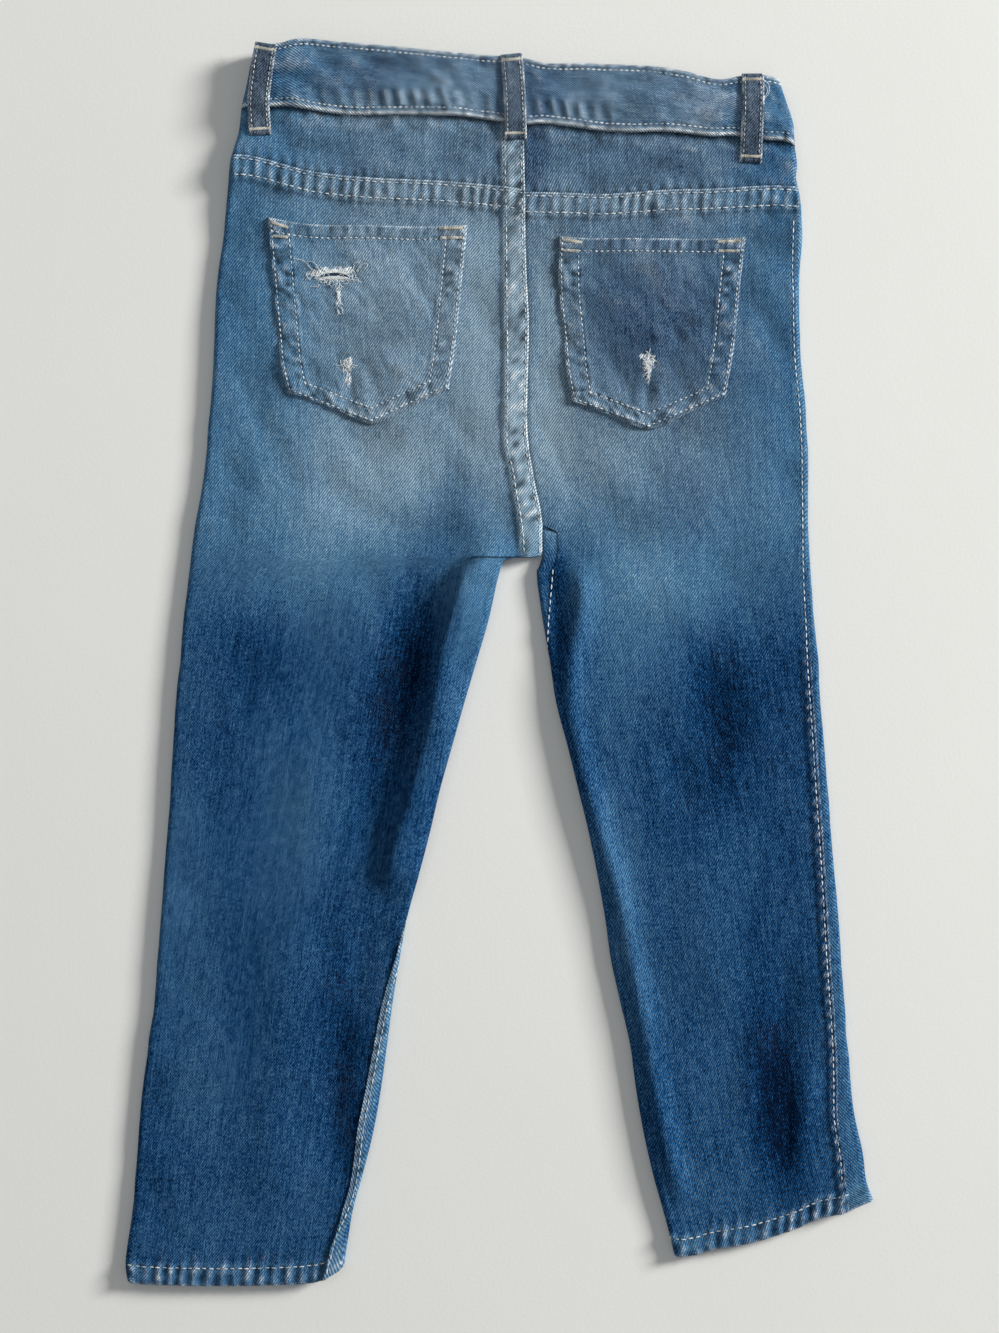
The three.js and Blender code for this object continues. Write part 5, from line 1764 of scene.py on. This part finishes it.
class JEANS_OT_stitches(bpy.types.Operator):
    """Sew the rows of stitches and the bar tacks"""
    bl_idname = "jeans.stitches"
    bl_label = "Stitches"

    def execute(self, context):
        legs = Ground(piece("denim_back_leg_left"), piece("denim_back_leg_right"))
        sew("stitches_back_leg_left", left_leg_rows(), legs)
        sew("stitches_back_leg_right", right_leg_rows(), legs)
        sew("stitches_inseam_left", inseam_rows(), Ground(piece("denim_front_leg_left")))
        sew("stitches_yoke", yoke_rise_rows(), Ground(piece("denim_back_yoke_left")))
        sew("stitches_waistband", waistband_stitch_rows(), Ground(piece("denim_waistband")), pitch=FINE_PITCH,
            length=0.0017)
        for side, pocket in (("left", POCKET_LEFT), ("right", POCKET_RIGHT)):
            ground = Ground(piece("denim_pocket_" + side))
            sew("stitches_pocket_" + side, pocket_rows(pocket), ground, pitch=FINE_PITCH, length=0.0016)
        loops = [piece("denim_loop_back_" + side) for side in BACK_LOOPS]
        sew("stitches_belt_loops", loop_rows(BACK_LOOPS), Ground(*loops), pitch=0.0024, length=0.0018,
            width=0.00045)
        tacked = Ground(piece("denim_pocket_left"), piece("denim_pocket_right"), *loops)
        sew("bar_tacks", tack_lines(), tacked, "tack_thread", 0.4, pitch=0.00052, length=0.0017, width=0.0005,
            turn=math.radians(80))
        return {"FINISHED"}


class JEANS_OT_frays(bpy.types.Operator):
    """Lay the frayed threads at the rips and the loose ends"""
    bl_idname = "jeans.frays"
    bl_label = "Frays"

    def execute(self, context):
        left, right = Ground(piece("denim_pocket_left")), Ground(piece("denim_pocket_right"))
        fray("frays_slit", slit_threads(), left)
        fray("frays_spot_left", scuff_threads((-71.3, 139), 6), left)
        fray("frays_spot_right", scuff_threads((70, 140.5), 7), right)
        waist = Ground(*(piece(key) for key in ("denim_waistband", "denim_loop_back_right")))
        fray("threads_loose", [
            [(122.5, 263, 0.3), (124.4, 264.6, 0.9), (125.3, 267, 1.2), (124.6, 269.4, 0.9),
             (123, 270.6, 0.3)],
            [(123, 262.4, 0.3), (126, 266, 0.8), (125.4, 271, 0.6), (123.4, 272, 0.3)],
        ], waist)
        return {"FINISHED"}


class JEANS_OT_stage(bpy.types.Operator):
    """Set the pale floor, the soft lights and the camera overhead"""
    bl_idname = "jeans.stage"
    bl_label = "Stage"

    def execute(self, context):
        use = context.scene.jeans_stage
        build_floor(use)
        add_area_light("key_light", (3.6, 1.5, 1.6), 1.1, use.key_power, (1.0, 0.99, 0.965))
        add_area_light("fill_light", (-0.5, 0.3, 1.9), 1.8, use.fill_power, (0.95, 0.975, 1.0))
        world = bpy.data.worlds.new("room")
        world.use_nodes = True
        world.node_tree.nodes["Background"].inputs[0].default_value = (0.93, 0.96, 1.0, 1.0)
        world.node_tree.nodes["Background"].inputs[1].default_value = use.world
        context.scene.world = world
        context.scene.view_settings.view_transform = "Standard"
        add_camera(use)
        return {"FINISHED"}


def build_floor(use):
    half, under = 1.6, -0.0003
    mesh = bpy.data.meshes.new("jeans_floor")
    mesh.from_pydata([(-half, -half, under), (half, -half, under), (half, half, under), (-half, half, under)],
                     [], [(0, 1, 2, 3)])
    mesh.materials.append(floor_material("floor_board", use.floor))
    floor = bpy.data.objects.new("jeans_floor", mesh)
    bpy.context.scene.collection.objects.link(floor)


def add_area_light(name, place, size, power, colour):
    lamp = bpy.data.lights.new(name, "AREA")
    lamp.size, lamp.energy, lamp.color = size, power, colour
    light = bpy.data.objects.new(name, lamp)
    light.location = place
    light.rotation_euler = (-Vector(place)).to_track_quat("-Z", "Y").to_euler()
    bpy.context.scene.collection.objects.link(light)


def add_camera(use):
    lens = bpy.data.cameras.new("overhead")
    lens.sensor_fit = "VERTICAL"
    lens.angle_y = 2 * math.atan(use.framed_height / 2 / (use.camera_height - LEG_TOP * MM))
    camera = bpy.data.objects.new("overhead", lens)
    camera.location = (0.0, FRAMED_Y, use.camera_height)
    bpy.context.scene.collection.objects.link(camera)
    bpy.context.scene.camera = camera


SETTINGS = {
    "jeans_cloth": JeansClothSettings,
    "jeans_threads": JeansThreadSettings,
    "jeans_stage": JeansStageSettings,
}
STEPS = (
    JEANS_OT_front_legs, JEANS_OT_back_legs, JEANS_OT_yokes, JEANS_OT_waistband, JEANS_OT_pockets,
    JEANS_OT_belt_loops, JEANS_OT_button, JEANS_OT_stitches, JEANS_OT_frays, JEANS_OT_stage,
)


class JEANS_PT_panel(bpy.types.Panel):
    """Steps that build the jeans, in order, and their settings"""
    bl_idname = "JEANS_PT_panel"
    bl_label = "Ripped jeans"
    bl_space_type = "VIEW_3D"
    bl_region_type = "UI"
    bl_category = "Jeans"

    def draw(self, context):
        for step in STEPS:
            self.layout.operator(step.bl_idname)
        for key, settings in SETTINGS.items():
            box = self.layout.box()
            for prop in settings.__annotations__:
                box.prop(getattr(context.scene, key), prop)


def register():
    for made in (*SETTINGS.values(), *STEPS, JEANS_PT_panel):
        bpy.utils.register_class(made)
    for key, settings in SETTINGS.items():
        setattr(bpy.types.Scene, key, PointerProperty(type=settings))


def unregister():
    for key in SETTINGS:
        delattr(bpy.types.Scene, key)
    for made in reversed((*SETTINGS.values(), *STEPS, JEANS_PT_panel)):
        bpy.utils.unregister_class(made)


def main():
    register()
    for step in STEPS:
        group, name = step.bl_idname.split(".")
        getattr(getattr(bpy.ops, group), name)()
    declare_pieces()


if __name__ == "__main__":
    main()
